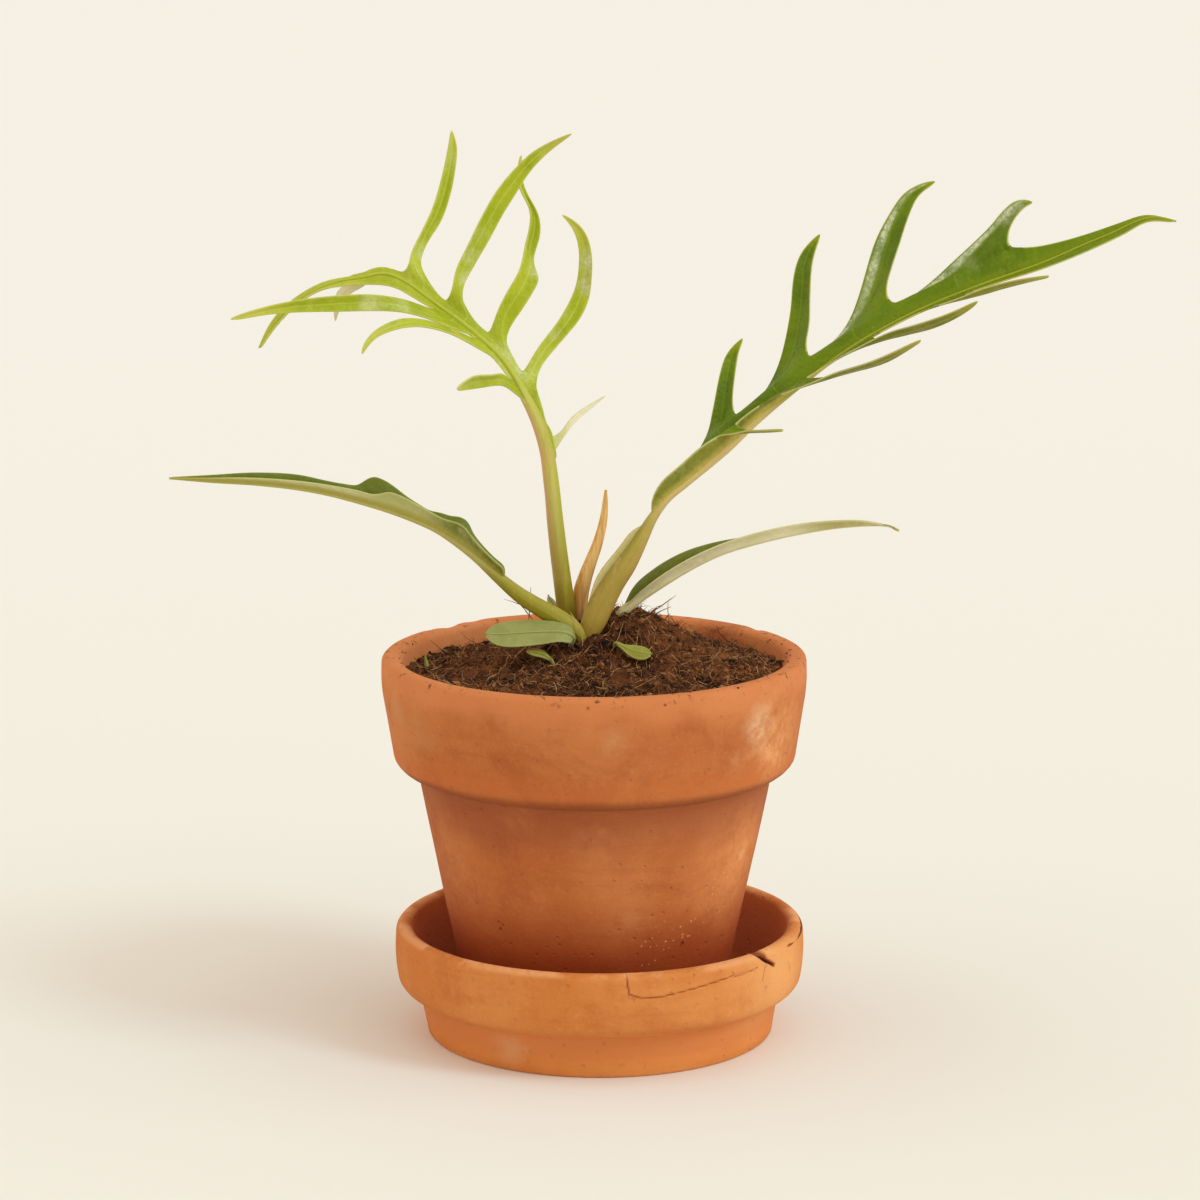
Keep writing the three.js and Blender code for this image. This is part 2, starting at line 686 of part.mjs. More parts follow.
const plant = [
  ["leaf_mature", matureLeaf, leafDark],
  ["leaf_young", youngLeaf, leafYoung],
  ["strap_leaf_left", strapLeafLeft, leafOlive],
  ["strap_leaf_right", strapLeafRight, leafOlive],
  ["dry_sheath", drySheath, dry],
  ["small_leaf_left", smallLeafLeft, leafGrey],
  ["small_leaf_under", smallLeafUnder, leafFresh],
  ["small_leaf_right", smallLeafRight, leafFresh],
  ["small_leaf_back", smallLeafBack, leafGrey],
  ["sprout", sprout, leafFresh],
];
for (const [name, leaf, material] of plant) {
  addNode(name, leafSolid(leaf, 0), material);
}

// Soil: it fills the pot, heaped round the stem, with a plain hole for each stalk

function soilTop(x, y) {
  const heap = MOUND_HEIGHT * Math.exp(
    -((x - MOUND_X) ** 2) / (2 * MOUND_SPREAD_X ** 2) - ((y - MOUND_Y) ** 2) / (2 * MOUND_SPREAD_Y ** 2),
  );
  const drop = SOIL_BACK_DROP * (y / POT_INNER_RIM_RADIUS);
  const coarse = Math.sin(0.62 * x + 1.3) * Math.cos(0.71 * y - 0.4);
  const fine = Math.sin(0.37 * (x + y)) / 2;
  const clods = CLOD_HEIGHT * (coarse + fine);
  return SOIL_EDGE_Z + heap - drop + clods;
}

const innerHeight = POT_LIP_HEIGHT - POT_FLOOR - POT_CORNER;
const innerSlope = (POT_INNER_RIM_RADIUS - POT_INNER_BASE_RADIUS) / innerHeight;
const soilBottom = POT_FLOOR + GAP;
const soilEdge = SOIL_EDGE_Z - POT_BASE_Z;
const soilRadius = POT_INNER_RIM_RADIUS - (POT_LIP_HEIGHT - soilEdge) * innerSlope - SOIL_CLEARANCE;
const soilOutline = [
  [0, soilBottom],
  [POT_INNER_BASE_RADIUS - POT_CORNER - SOIL_CLEARANCE, soilBottom],
  [POT_INNER_BASE_RADIUS - SOIL_CLEARANCE, soilBottom + POT_CORNER],
  [soilRadius, soilEdge],
];
for (let ring = SOIL_RINGS - 1; ring >= 0; ring -= 1) {
  soilOutline.push([soilRadius * (ring / SOIL_RINGS), soilEdge]);
}
const soilBody = turned(soilOutline, SOIL_SEGMENTS);
soilBody.translate(POT_OFFSET_X, 0, POT_BASE_Z);
const soilPosition = soilBody.attributes.position;
for (let i = 0; i < soilPosition.count; i += 1) {
  const [x, y, z] = [soilPosition.getX(i), soilPosition.getY(i), soilPosition.getZ(i)];
  const radius = Math.hypot(x - POT_OFFSET_X, y);
  if (z > SOIL_EDGE_Z - 0.01 && radius < soilRadius - 0.01) {
    soilPosition.setZ(i, soilTop(x, y));
  }
}
let soilSolid = solidOf(soilBody);
for (const [, leaf] of plant) {
  soilSolid = soilSolid.subtract(leafSolid(leaf, GAP));
}
addNode("soil", soilSolid, finish(0x3a261a, 1));

export default object;
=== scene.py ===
import math
import random

import bmesh
import bpy
from mathutils import Matrix, Vector, geometry, noise


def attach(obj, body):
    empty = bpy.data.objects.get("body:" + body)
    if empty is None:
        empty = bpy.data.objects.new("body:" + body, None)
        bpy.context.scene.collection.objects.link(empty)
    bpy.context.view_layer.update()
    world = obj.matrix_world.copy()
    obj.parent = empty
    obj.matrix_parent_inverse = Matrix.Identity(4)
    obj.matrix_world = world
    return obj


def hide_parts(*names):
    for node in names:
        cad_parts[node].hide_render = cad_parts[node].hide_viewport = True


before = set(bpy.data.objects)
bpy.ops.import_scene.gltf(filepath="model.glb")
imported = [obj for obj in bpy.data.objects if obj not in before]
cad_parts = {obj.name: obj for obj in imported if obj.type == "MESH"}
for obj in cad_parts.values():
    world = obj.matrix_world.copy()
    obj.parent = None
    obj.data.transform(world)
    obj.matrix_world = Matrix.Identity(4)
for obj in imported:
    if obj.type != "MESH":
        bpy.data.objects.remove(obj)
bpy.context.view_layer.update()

# Stage: a pale seamless floor, an even room light, a soft lamp at the front right and two wide ones.
# The camera has a long lens and looks down a little, as the photograph's does.
MM = 0.001
FLOOR_SIZE = 40
LENS = 120
CAMERA_PLACE = (0, -1.014, 0.317)
CAMERA_TILT = 78.7
VIEW_END = 100
ROOM_LIGHT = 0.76
ROOM_COLOUR = (255, 243, 228)
FLOOR_NEAR = (237, 236, 229)
FLOOR_FAR = (238, 238, 234)
FLOOR_CHANGE = (-0.2, 1.5)
# Lamps: name, the way its light comes from, power, spread in degrees and colour.
LAMPS = [
    ("soft_lamp", (1.15, -0.6, 1), 0.85, 18, (0.62, 0.87, 1)),
    ("low_lamp", (1, -0.4, 0.4), 1.1, 90, (1, 0.95, 0.88)),
    ("left_lamp", (-1, 0, 0.3), 0.7, 90, (1, 0.93, 0.84)),
]


def paint(red, green, blue):
    """A colour as a screen shows it, from 0 to 255, as the shader takes it."""
    def linear(value):
        share = value / 255
        return share / 12.92 if share <= 0.04045 else ((share + 0.055) / 1.055) ** 2.4
    return (linear(red), linear(green), linear(blue), 1)


class Finish:
    """A procedural material, its shader, and short ways to add nodes and join them."""

    def __init__(self, name, colour, **sockets):
        self.material = bpy.data.materials.new(name)
        self.material.use_nodes = True
        self.tree = self.material.node_tree
        self.shader = self.tree.nodes["Principled BSDF"]
        self.place = self.tree.nodes.new("ShaderNodeTexCoord").outputs["Object"]
        self.set(self.shader, sockets)
        self.colour = paint(*colour)

    def set(self, node, inputs):
        """Gives a node's sockets values, or joins others to them. _0 is its first socket."""
        for key, value in inputs.items():
            socket = node.inputs[int(key[1:]) if key[0] == "_" else key.replace("_", " ")]
            if isinstance(value, bpy.types.NodeSocket):
                self.tree.links.new(value, socket)
            else:
                socket.default_value = value

    def node(self, kind, inputs, **choices):
        made = self.tree.nodes.new("ShaderNode" + kind)
        for key, value in choices.items():
            setattr(made, key, value)
        self.set(made, inputs)
        return made

    def noise(self, scale, detail=4, roughness=0.55, place=None, distortion=0):
        inputs = {"Vector": place or self.place, "Scale": scale, "Detail": detail,
                  "Roughness": roughness, "Distortion": distortion}
        return self.node("TexNoise", inputs).outputs["Fac"]

    def cells(self, scale):
        return self.node("TexVoronoi", {"Vector": self.place, "Scale": scale}).outputs["Distance"]

    def stretched(self, x, y, z):
        """The piece's own coordinates, drawn out so that a pattern on them is longer one way."""
        return self.node("Mapping", {"Vector": self.place, "Scale": (x, y, z)}).outputs["Vector"]

    def mark(self, name):
        return self.node("Attribute", {}, attribute_name=name).outputs["Fac"]

    def ramp(self, value, low, high, start=0, end=1):
        """Goes smoothly from start to end as value goes from low to high."""
        if low > high:
            low, high, start, end = high, low, end, start
        inputs = {"Value": value, "From_Min": low, "From_Max": high, "To_Min": start, "To_Max": end}
        return self.node("MapRange", inputs, interpolation_type="SMOOTHSTEP").outputs["Result"]

    def math(self, operation, first, second=0.0):
        return self.node("Math", {"_0": first, "_1": second}, operation=operation).outputs[0]

    def times(self, *values):
        result = values[0]
        for value in values[1:]:
            result = self.math("MULTIPLY", result, value)
        return result

    def lay(self, tint, *shares):
        """Lays a tint, from 0 to 255, over the colour so far, as much as the shares give together."""
        inputs = {"_0": self.times(*shares), "_6": self.colour, "_7": paint(*tint)}
        self.colour = self.node("Mix", inputs, data_type="RGBA").outputs[2]
        self.set(self.shader, {"Base Color": self.colour})

    def near(self, place, reach, ragged=0.0, scale=300):
        """1 at a place given in millimetres, falling to 0 at reach, with a ragged outline."""
        ends = {"_0": self.place, "_1": Vector(place) * MM}
        gap = self.node("VectorMath", ends, operation="DISTANCE").outputs["Value"]
        if ragged:
            rough = self.math("SUBTRACT", self.noise(scale, 3), 0.5)
            gap = self.math("ADD", gap, self.math("MULTIPLY", rough, ragged * MM))
        return self.ramp(gap, reach * MM, 0)

    def spots(self, rows, ragged, scale, *shares):
        """Lays ragged spots over the colour so far, from rows of place, reach, strength and tint."""
        for place, reach, strength, tint in rows:
            self.lay(tint, self.near(place, reach, ragged, scale), *shares, strength)

    def along(self, axis):
        """The piece's own coordinate along an axis, in metres."""
        return self.node("SeparateXYZ", {"_0": self.place}).outputs[axis]

    def bump(self, heights, distance):
        """Raises the surface by heights, and by any bump set before it."""
        before = self.shader.inputs["Normal"].links
        inputs = {"Height": heights, "Distance": distance * MM}
        if before:
            inputs["Normal"] = before[0].from_socket
        self.set(self.shader, {"Normal": self.node("Bump", inputs).outputs["Normal"]})


camera_data = bpy.data.cameras.new("camera")
camera_data.lens = LENS
camera_data.clip_end = VIEW_END
camera = bpy.data.objects.new("camera", camera_data)
camera.location = CAMERA_PLACE
camera.rotation_euler = (math.radians(CAMERA_TILT), 0, 0)
bpy.context.scene.collection.objects.link(camera)
bpy.context.scene.camera = camera

for name, source, power, spread, tint in LAMPS:
    lamp_data = bpy.data.lights.new(name, "SUN")
    lamp_data.energy = power
    lamp_data.angle = math.radians(spread)
    lamp_data.color = tint
    lamp = bpy.data.objects.new(name, lamp_data)
    lamp.rotation_euler = Vector(source).to_track_quat("Z", "Y").to_euler()
    bpy.context.scene.collection.objects.link(lamp)

room = bpy.data.worlds.new("room")
room.use_nodes = True
room.node_tree.nodes["Background"].inputs["Color"].default_value = paint(*ROOM_COLOUR)
room.node_tree.nodes["Background"].inputs["Strength"].default_value = ROOM_LIGHT
bpy.context.scene.world = room
bpy.context.scene.view_settings.view_transform = "Standard"

floor_finish = Finish("pale_floor", FLOOR_NEAR, Roughness=0.9, Specular_IOR_Level=0.1)
floor_finish.lay(FLOOR_FAR, floor_finish.ramp(floor_finish.along("Y"), *FLOOR_CHANGE))


def put(bm, name, finishes, smooth=True):
    """Makes a bmesh an object of the scene, with its materials."""
    mesh = bpy.data.meshes.new(name)
    bm.to_mesh(mesh)
    bm.free()
    if smooth:
        mesh.shade_smooth()
    for finish in finishes:
        mesh.materials.append(finish.material)
    piece = bpy.data.objects.new(name, mesh)
    bpy.context.scene.collection.objects.link(piece)
    return piece


bm = bmesh.new()
bmesh.ops.create_grid(bm, x_segments=1, y_segments=1, size=FLOOR_SIZE / 2)
put(bm, "floor", [floor_finish], smooth=False)

# Saucer: a deep round dish of unglazed orange clay, pressed in a mould and fired.
# Its thick rim band stands out over a tapered foot. A flake has lifted from the rim at the front right,
# a chip with a cleft is beside it, and a hair crack runs round the right of the rim.
SAUCER_TURNS = 256
SAUCER_OUTLINE = [
    (0, 0, 0), (45.2, 0, 0.6), (47.3, 11, 1.2), (52.6, 13.4, 1.6), (53.75, 20, 4), (53.2, 29.2, 2.2),
    (49.6, 29.2, 1.4), (40.6, 6, 2.2), (0, 6, 0),
]
FLAKE_EDGE = [
    (7.2, 29.2), (7.5, 26.4), (7.9, 24.5), (10.8, 23.4), (16, 23.2), (24.9, 24.3), (32, 25.1),
    (38.6, 25.8),
]
FLAKE_END = [(38.6, 26.9), (39.5, 25.6), (45, 25.7), (49, 26.4)]
CLEFT = [(49.8, 29.8), (51, 28.3), (52.4, 27.2), (53.6, 26.6), (56.8, 25)]
CLEFT_SIDE = [(53.4, 26.6), (52.6, 25.4)]
CHIP_CRACK = [(52, 25.6), (50.8, 22)]
CHIP_MIDDLE = [(26.4, 53.4), (29.4, 51.9)]
CHIP_HALF = 1.7
FLAKE_SPAN = (4, 58)
FLAKE_INSIDE = (7.2, 49.5)
CRACK_SPAN = (62, 111)
CRACK_WIDTH = 0.4
CRACK_DEPTH = 0.2
CLEFT_DEPTH = 1.1
CHIP_DEPTH = 0.8
TURNING_WOBBLE = 0.3
RIM_CRACK = [
    (66, 53.2), (68, 53.3), (71.2, 53.5), (79.4, 53.3), (87.5, 53), (100.3, 52.6), (109.2, 52.5),
]
FLAKE_LIFT = 0.4
BAND_RADIUS = 53.6


def rounded_outline(corners):
    """Points of an outline in millimetres, from rows of radius, height and rounding at each corner."""
    dots = [Vector((radius, 0, height)) * MM for radius, height, _ in corners]
    outline = [dots[0]]
    for before, dot, after, corner in zip(dots, dots[1:], dots[2:], corners[1:]):
        cut = corner[2] * MM
        start = dot + (before - dot).normalized() * cut
        end = dot + (after - dot).normalized() * cut
        handles = dot.lerp(start, 0.45), dot.lerp(end, 0.45)
        outline += geometry.interpolate_bezier(start, *handles, end, 6)
    return outline + [dots[-1]]


def turn_clay(outline, turns, step, closed):
    """Turns an outline round the upright axis into a solid, with a point every step at most."""
    bm = bmesh.new()
    dots = [bm.verts.new(point) for point in outline]
    runs = [bm.edges.new(pair) for pair in zip(dots, dots[1:])]
    if closed:
        runs.append(bm.edges.new((dots[-1], dots[0])))
    for run in runs:
        cuts = int(run.calc_length() / (step * MM))
        if cuts:
            bmesh.ops.subdivide_edges(bm, edges=[run], cuts=cuts)
    bmesh.ops.spin(
        bm, geom=bm.verts[:] + bm.edges[:], axis=(0, 0, 1), cent=(0, 0, 0),
        angle=math.tau, steps=turns, use_merge=True,
    )
    bmesh.ops.remove_doubles(bm, verts=bm.verts, dist=0.01 * MM)
    bmesh.ops.recalc_face_normals(bm, faces=bm.faces)
    return bm


def line_gap(x, y, line):
    """The distance from a point to a line of points in a plane."""
    spot = Vector((x, y))
    gaps = []
    for start, end in zip(line, line[1:]):
        nearest, share = geometry.intersect_point_line(spot, Vector(start), Vector(end))
        nearest = Vector(start).lerp(Vector(end), min(max(share, 0), 1))
        gaps.append((spot - nearest).length)
    return min(gaps)


def front_angle(place):
    """Degrees round from the front towards the right, seen from above."""
    return math.degrees(math.atan2(place.x, -place.y))


def rounds(line, radius):
    """A line of angles and heights, as lengths round a radius and heights, in millimetres."""
    return [(math.radians(angle) * radius, height) for angle, height in line]


def smooth_step(low, high, value):
    share = min(max((value - low) / (high - low), 0), 1)
    return share * share * (3 - 2 * share)


bm = turn_clay(rounded_outline(SAUCER_OUTLINE), SAUCER_TURNS, 1.6, closed=False)
flawed = []
for face in bm.faces:
    middle = face.calc_center_median()
    angle, radius, height = front_angle(middle), middle.to_2d().length / MM, middle.z / MM
    by_flake = FLAKE_SPAN[0] < angle < FLAKE_SPAN[1] and height > 19 and radius > 49
    by_crack = FLAKE_SPAN[1] <= angle < CRACK_SPAN[1] + 1 and height > 25 and radius > 51
    if by_flake or by_crack:
        flawed.append(face)
edges = list({edge for face in flawed for edge in face.edges})
bmesh.ops.subdivide_edges(bm, edges=edges, cuts=3, use_grid_fill=True)
crack = bm.verts.layers.float.new("crack")
flake_line = rounds(FLAKE_EDGE, BAND_RADIUS)
end_line = rounds(FLAKE_END, BAND_RADIUS)
cleft_line = rounds(CLEFT, BAND_RADIUS)
fine_lines = [rounds(line, BAND_RADIUS) for line in (CLEFT_SIDE, CHIP_CRACK)]


def row_value(rows, at):
    """The second column's value in rows sorted by their first column, blended between rows."""
    if at <= rows[0][0]:
        return rows[0][1]
    for low, high in zip(rows, rows[1:]):
        if at <= high[0]:
            share = (at - low[0]) / (high[0] - low[0])
            return low[1] + (high[1] - low[1]) * share
    return rows[-1][1]


for vert in bm.verts:
    angle = front_angle(vert.co)
    radius = vert.co.to_2d().length / MM
    height = vert.co.z / MM
    outward = vert.co.to_2d().to_3d().normalized()
    ragged = noise.noise(vert.co * 400)
    wobble = noise.noise(vert.co * 28) * TURNING_WOBBLE + noise.noise(vert.co * 90) * 0.1
    if radius > 8:
        vert.co += outward * wobble * MM * smooth_step(0, 4, height)
    if CRACK_SPAN[0] < angle < CRACK_SPAN[1] and height > 27.4:
        gap = abs(radius - row_value(RIM_CRACK, angle)) + 0.12 * ragged
        edge = (1 - smooth_step(0.12, CRACK_WIDTH, gap)) * smooth_step(64, 70, angle)
        vert[crack] = edge * (0.9 - 0.5 * smooth_step(84, 108, angle))
        vert.co -= outward * CRACK_DEPTH * MM * edge
    if not (FLAKE_SPAN[0] < angle < FLAKE_SPAN[1] and height > 18 and radius > 48):
        continue
    x = math.radians(angle) * BAND_RADIUS
    floor = row_value(FLAKE_EDGE[3:], angle)
    over = smooth_step(floor - 0.1, floor + 0.5, height + 0.15 * ragged)
    inside = smooth_step(FLAKE_INSIDE[0], 7.8, angle) * (1 - smooth_step(48, FLAKE_INSIDE[1], angle))
    vert.co += outward * FLAKE_LIFT * MM * over * inside * smooth_step(50.4, 52.4, radius)
    edge = 0
    if radius > 51.4:
        edge = 0.5 * (1 - smooth_step(0.05, 0.3, line_gap(x, height, flake_line) + 0.08 * ragged))
        edge = max(edge, 0.42 * (1 - smooth_step(0.05, 0.26, line_gap(x, height, end_line))))
        for line in fine_lines:
            edge = max(edge, 0.35 * (1 - smooth_step(0.05, 0.26, line_gap(x, height, line))))
    cleft = 1 - smooth_step(0.2, 0.6 + 0.18 * max(0, height - 26), line_gap(x, height, cleft_line))
    chip_middle = math.radians(row_value(CHIP_MIDDLE, height)) * BAND_RADIUS
    chip_half = CHIP_HALF * smooth_step(25.6, 29.4, height) + 0.05
    chip = (1 - smooth_step(0.6, 1, abs(x - chip_middle) / chip_half)) * smooth_step(26, 27, height)
    vert.co -= outward * MM * (0.35 * edge + CLEFT_DEPTH * cleft + CHIP_DEPTH * chip)
    vert.co.z -= MM * (1.3 * cleft + 1.0 * chip) * smooth_step(28, 29.2, height)
    vert[crack] = max(edge, cleft, 0.45 * chip)
bmesh.ops.recalc_face_normals(bm, faces=bm.faces)


def clay(name, light, main, dark, damp, pale):
    """Unglazed clay: cloudy fired colour, smears, fine sand grain, small pits and specks."""
    skin = Finish(name, main, Roughness=0.88, Specular_IOR_Level=0.2)
    cloud = skin.noise(17, 5, 0.6, distortion=0.4)
    blotch = skin.noise(52, 6, 0.66, distortion=0.8)
    smear = skin.noise(75, 5, 0.6, skin.stretched(1, 1, 0.3))
    turning = skin.noise(60, 5, 0.65, skin.stretched(0.6, 0.6, 6))
    grain = skin.noise(900, 3, 0.7)
    speck = skin.noise(420, 2, 0.5)
    skin.lay(light, skin.ramp(cloud, 0.36, 0.64))
    skin.lay(dark, skin.ramp(blotch, 0.46, 0.68), 0.5)
    skin.lay(light, skin.ramp(smear, 0.5, 0.72), 0.4)
    skin.lay(dark, skin.ramp(turning, 0.5, 0.75), 0.3)
    skin.lay(pale, skin.ramp(grain, 0.5, 0.75), 0.16)
    skin.lay(damp, skin.ramp(speck, 0.71, 0.77), 0.3)
    skin.bump(skin.noise(1500, 3, 0.7), 0.12)
    skin.bump(skin.noise(160, 4, 0.6), 0.25)
    skin.bump(turning, 0.12)
    skin.bump(skin.ramp(skin.cells(260), 0.16, 0.03, 0, -1), 0.25)
    return skin


saucer_skin = clay(
    "saucer_clay_skin", light=(214, 138, 74), main=(202, 120, 56), dark=(186, 102, 46),
    damp=(120, 62, 30), pale=(232, 176, 122),
)
height = saucer_skin.along("Z")
flat = saucer_skin.node("VectorMath", {"_0": saucer_skin.place, "_1": (1, 1, 0)}, operation="MULTIPLY")
from_axis = saucer_skin.node("VectorMath", {"_0": flat.outputs[0]}, operation="LENGTH").outputs["Value"]
inside = saucer_skin.ramp(from_axis, 49.6 * MM, 47.5 * MM)
above_floor = saucer_skin.ramp(height, 4 * MM, 6 * MM)
saucer_skin.lay((196, 116, 76), inside, above_floor, 0.85)
# Painted highlight: the top of the rim is painted paler, where the light catches it.
painted_rim_highlight = saucer_skin.ramp(height, 27.6 * MM, 29.2 * MM)
ripple = saucer_skin.ramp(saucer_skin.noise(90, 4), 0.4, 0.6)
saucer_skin.lay((236, 172, 118), painted_rim_highlight, ripple, 0.8)
# Painted light: the wall under the band, above the foot, is painted paler to lift the shade of the band's
# overhang.
painted_light_under_band = saucer_skin.ramp(height, 13.6 * MM, 12.4 * MM)
foot = saucer_skin.ramp(height, 0, 3 * MM)
saucer_skin.lay((218, 134, 68), painted_light_under_band, foot, 0.6)
# Painted light: a pale patch on the front right of the band, where the light falls strongest.
saucer_skin.spots([((46, -27, 22), 24, 0.6, (236, 174, 110))], 12, 110)
saucer_skin.spots([((-23, -41, 6), 7, 0.3, (216, 182, 140))], 9, 260)
flecks = saucer_skin.ramp(saucer_skin.noise(300, 3, 0.6), 0.64, 0.74)
saucer_skin.lay((160, 82, 44), flecks, 0.2)
saucer_skin.lay((152, 76, 38), saucer_skin.ramp(saucer_skin.mark("crack"), 0, 0.5))
saucer_skin.lay((58, 22, 12), saucer_skin.ramp(saucer_skin.mark("crack"), 0.5, 1))
saucer_piece = put(bm, "saucer_clay", [saucer_skin])
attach(saucer_piece, "root")
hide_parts("saucer")

# Pot: a tapered flower pot of unglazed clay with a deep rim band and a drain hole, pressed and fired.
# It stands loose in the saucer, a little to the left. Its rim is worn at the back left.
# Lime has bloomed through the band, the wet soil has darkened the wall at the foot, and painted shade
# darkens the wall just under the band.
POT_TURNS = 288
POT_CENTRE = -1.4
POT_BASE = 6.3
POT_OUTLINE = [
    (6, 0, 0), (33.2, 0, 1.4), (46.2, 63.9, 2), (51.8, 65.3, 2.8), (55.2, 86.6, 3), (54.9, 94.1, 1.7),
    (49.9, 93.9, 1.7), (28, 7, 2.4), (6, 7, 0),
]
NICKS = [
    ((-42, 37, 100.6), (9, 6, 3.2), 0.7), ((-47, 33, 100.4), (5, 4, 2.6), 0.5),
    ((-34, 42, 100.6), (5, 4, 2), 0.3), ((12, 54.2, 100.2), (10, 4, 3), 0.3),
    ((44, 32, 100.4), (7, 4, 2.4), 0.4),
]

bm = turn_clay(rounded_outline(POT_OUTLINE), POT_TURNS, 1.5, closed=True)
bmesh.ops.translate(bm, verts=bm.verts, vec=(POT_CENTRE * MM, 0, POT_BASE * MM))
for vert in bm.verts:
    place = vert.co / MM
    outward = Vector((place.x - POT_CENTRE, place.y, 0)).normalized()
    wobble = noise.noise(vert.co * 24) * 0.35 + noise.noise(vert.co * 80 + Vector((4, 0, 0))) * 0.12
    vert.co += outward * wobble * MM * smooth_step(POT_BASE, POT_BASE + 6, place.z)
    for spot, reach, depth in NICKS:
        off = place - Vector(spot)
        gap = math.sqrt(sum((off[i] / reach[i]) ** 2 for i in range(3)))
        worn = 1 - smooth_step(0.1, 1, gap + 0.3 * noise.noise(vert.co * 260))
        vert.co -= (Vector((0, 0, 1)) + outward * 0.5) * depth * worn * MM

pot_skin = clay(
    "pot_clay_skin", light=(198, 122, 68), main=(182, 102, 52), dark=(160, 80, 40),
    damp=(112, 56, 28), pale=(218, 156, 106),
)
height = pot_skin.along("Z")
rough = pot_skin.math("SUBTRACT", pot_skin.noise(55, 4), 0.5)
wavy = pot_skin.math("ADD", height, pot_skin.math("MULTIPLY", rough, 14 * MM))
# Painted shade: the wall just under the band is painted darker.
shade_under_band = pot_skin.ramp(wavy, 52 * MM, 66 * MM)
band_end = pot_skin.ramp(height, 72.5 * MM, 70 * MM)
pot_skin.lay((150, 80, 50), shade_under_band, band_end, 0.6)
pot_skin.lay((154, 62, 20), pot_skin.ramp(wavy, 47 * MM, 25 * MM), 0.85)
pot_skin.lay((214, 134, 82), pot_skin.ramp(wavy, 90 * MM, 98 * MM), 0.65)
band_foot = pot_skin.ramp(height, 72 * MM, 75 * MM)
band_middle = pot_skin.ramp(wavy, 82 * MM, 76 * MM)
pot_skin.lay((196, 108, 54), band_foot, band_middle, 0.5)
# Painted shadow: a dark line in the crease under the band.
shadow_line_top = pot_skin.ramp(height, 74 * MM, 72 * MM)
shadow_line_foot = pot_skin.ramp(height, 69.4 * MM, 70.6 * MM)
pot_skin.lay((136, 66, 34), shadow_line_top, shadow_line_foot, 0.55)
# Rows of place, reach, strength and tint: mostly lime and clay stains, but the dark row at (32, 37, 94) is
# painted shade on the inside wall at the back right.
STAIN_AND_SHADE_PATCHES = [
    ((46, -27, 84), 16, 0.8, (234, 162, 104)), ((41, -35, 88), 9, 0.55, (240, 204, 162)),
    ((44, -30, 82), 8, 0.4, (234, 176, 118)), ((32, 37, 94), 15, 0.75, (134, 60, 32)),
    ((37, -39, 80), 7, 0.4, (226, 160, 104)), ((2, -55, 90), 5, 0.35, (206, 160, 116)),
    ((-46, -31, 86), 9, 0.3, (184, 136, 90)), ((-50, -22, 89), 7, 0.3, (190, 148, 102)),
    ((35, -22, 50), 22, 0.6, (226, 148, 88)), ((-38, -22, 50), 18, 0.5, (204, 130, 78)),
    ((-38, 36, 96), 26, 0.6, (214, 140, 92)), ((0, -43.4, 57), 10, 0.35, (206, 132, 82)),
    ((5, -41, 48), 9, 0.35, (206, 134, 84)), ((-2.5, -44.5, 62), 7, 0.3, (204, 132, 84)),
    ((-20, -41.4, 66), 8, 0.3, (198, 124, 76)), ((8, -39, 40), 4, 0.35, (206, 138, 90)),
    ((35.9, -20.2, 51.7), 3, 0.5, (232, 176, 128)), ((-30, -30, 48), 12, 0.3, (200, 118, 60)),
]
mottle = pot_skin.ramp(pot_skin.noise(230, 6, 0.75), 0.36, 0.62, 0.3, 1)
pot_skin.spots(STAIN_AND_SHADE_PATCHES, 10, 120, mottle)
SALT = [((24, -31, 36), 10), ((30, -26, 44), 9), ((14, -35, 30), 9)]
grains = pot_skin.ramp(pot_skin.cells(620), 0.22, 0.12)
for spot, reach in SALT:
    pot_skin.lay((236, 186, 134), grains, pot_skin.near(spot, reach, 14), 0.7)
PITS = [
    ((-25.6, -30.9, 37.2), 0.7), ((-24.4, -31.7, 36.6), 0.6), ((-25.4, -31.2, 35.2), 0.65),
    ((21.2, -31.1, 31.4), 1), ((20.9, -31.3, 30.6), 0.7), ((-33.2, -44.9, 77.6), 0.7),
    ((-40.5, -21.5, 56), 0.7), ((-41, -20, 55.2), 0.6), ((-10, -53.8, 98.6), 0.9),
    ((-3, -54.8, 98.2), 0.7), ((-14, -53, 97.6), 0.6), ((16, -52, 98.4), 0.6), ((-50, -18, 96), 0.7),
    ((-53, -10, 93), 0.6),
]
for spot, reach in PITS:
    pot_skin.lay((70, 32, 18), pot_skin.near(spot, reach, ragged=0.7, scale=1500))
dust = pot_skin.ramp(pot_skin.noise(340, 4, 0.7), 0.58, 0.66)
on_rim = pot_skin.ramp(height, 97.2 * MM, 99.6 * MM)
pot_skin.lay((98, 54, 32), dust, on_rim, 0.75)
pot_piece = put(bm, "pot_clay", [pot_skin])
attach(pot_piece, "root")
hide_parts("pot")

# Soil: a dark potting mix of coir, bark and peat that fills the pot to a little under its rim.
# It is heaped round the stalks, and its top is broken up into lumps, hollows and crumbs.
SOIL_TURNS = 320
SOIL_EDGE = 48.9
SOIL_FLOOR_RADIUS = 28.2
SOIL_FLOOR = 14
SOIL_LEVEL = 96
SOIL_RINGS = 118
SOIL_REACH = 49.8
SOIL_SLOPE = 1.6
HEAP = {"height": 14.5, "x": 5, "y": 5, "wide": 17, "deep": 15}
HOLLOW = {"depth": 2.8, "x": 9, "y": -15, "reach": 5.5}
CLOD = 0.7
LUMP = 1.3
CRUMBLE = 0.7


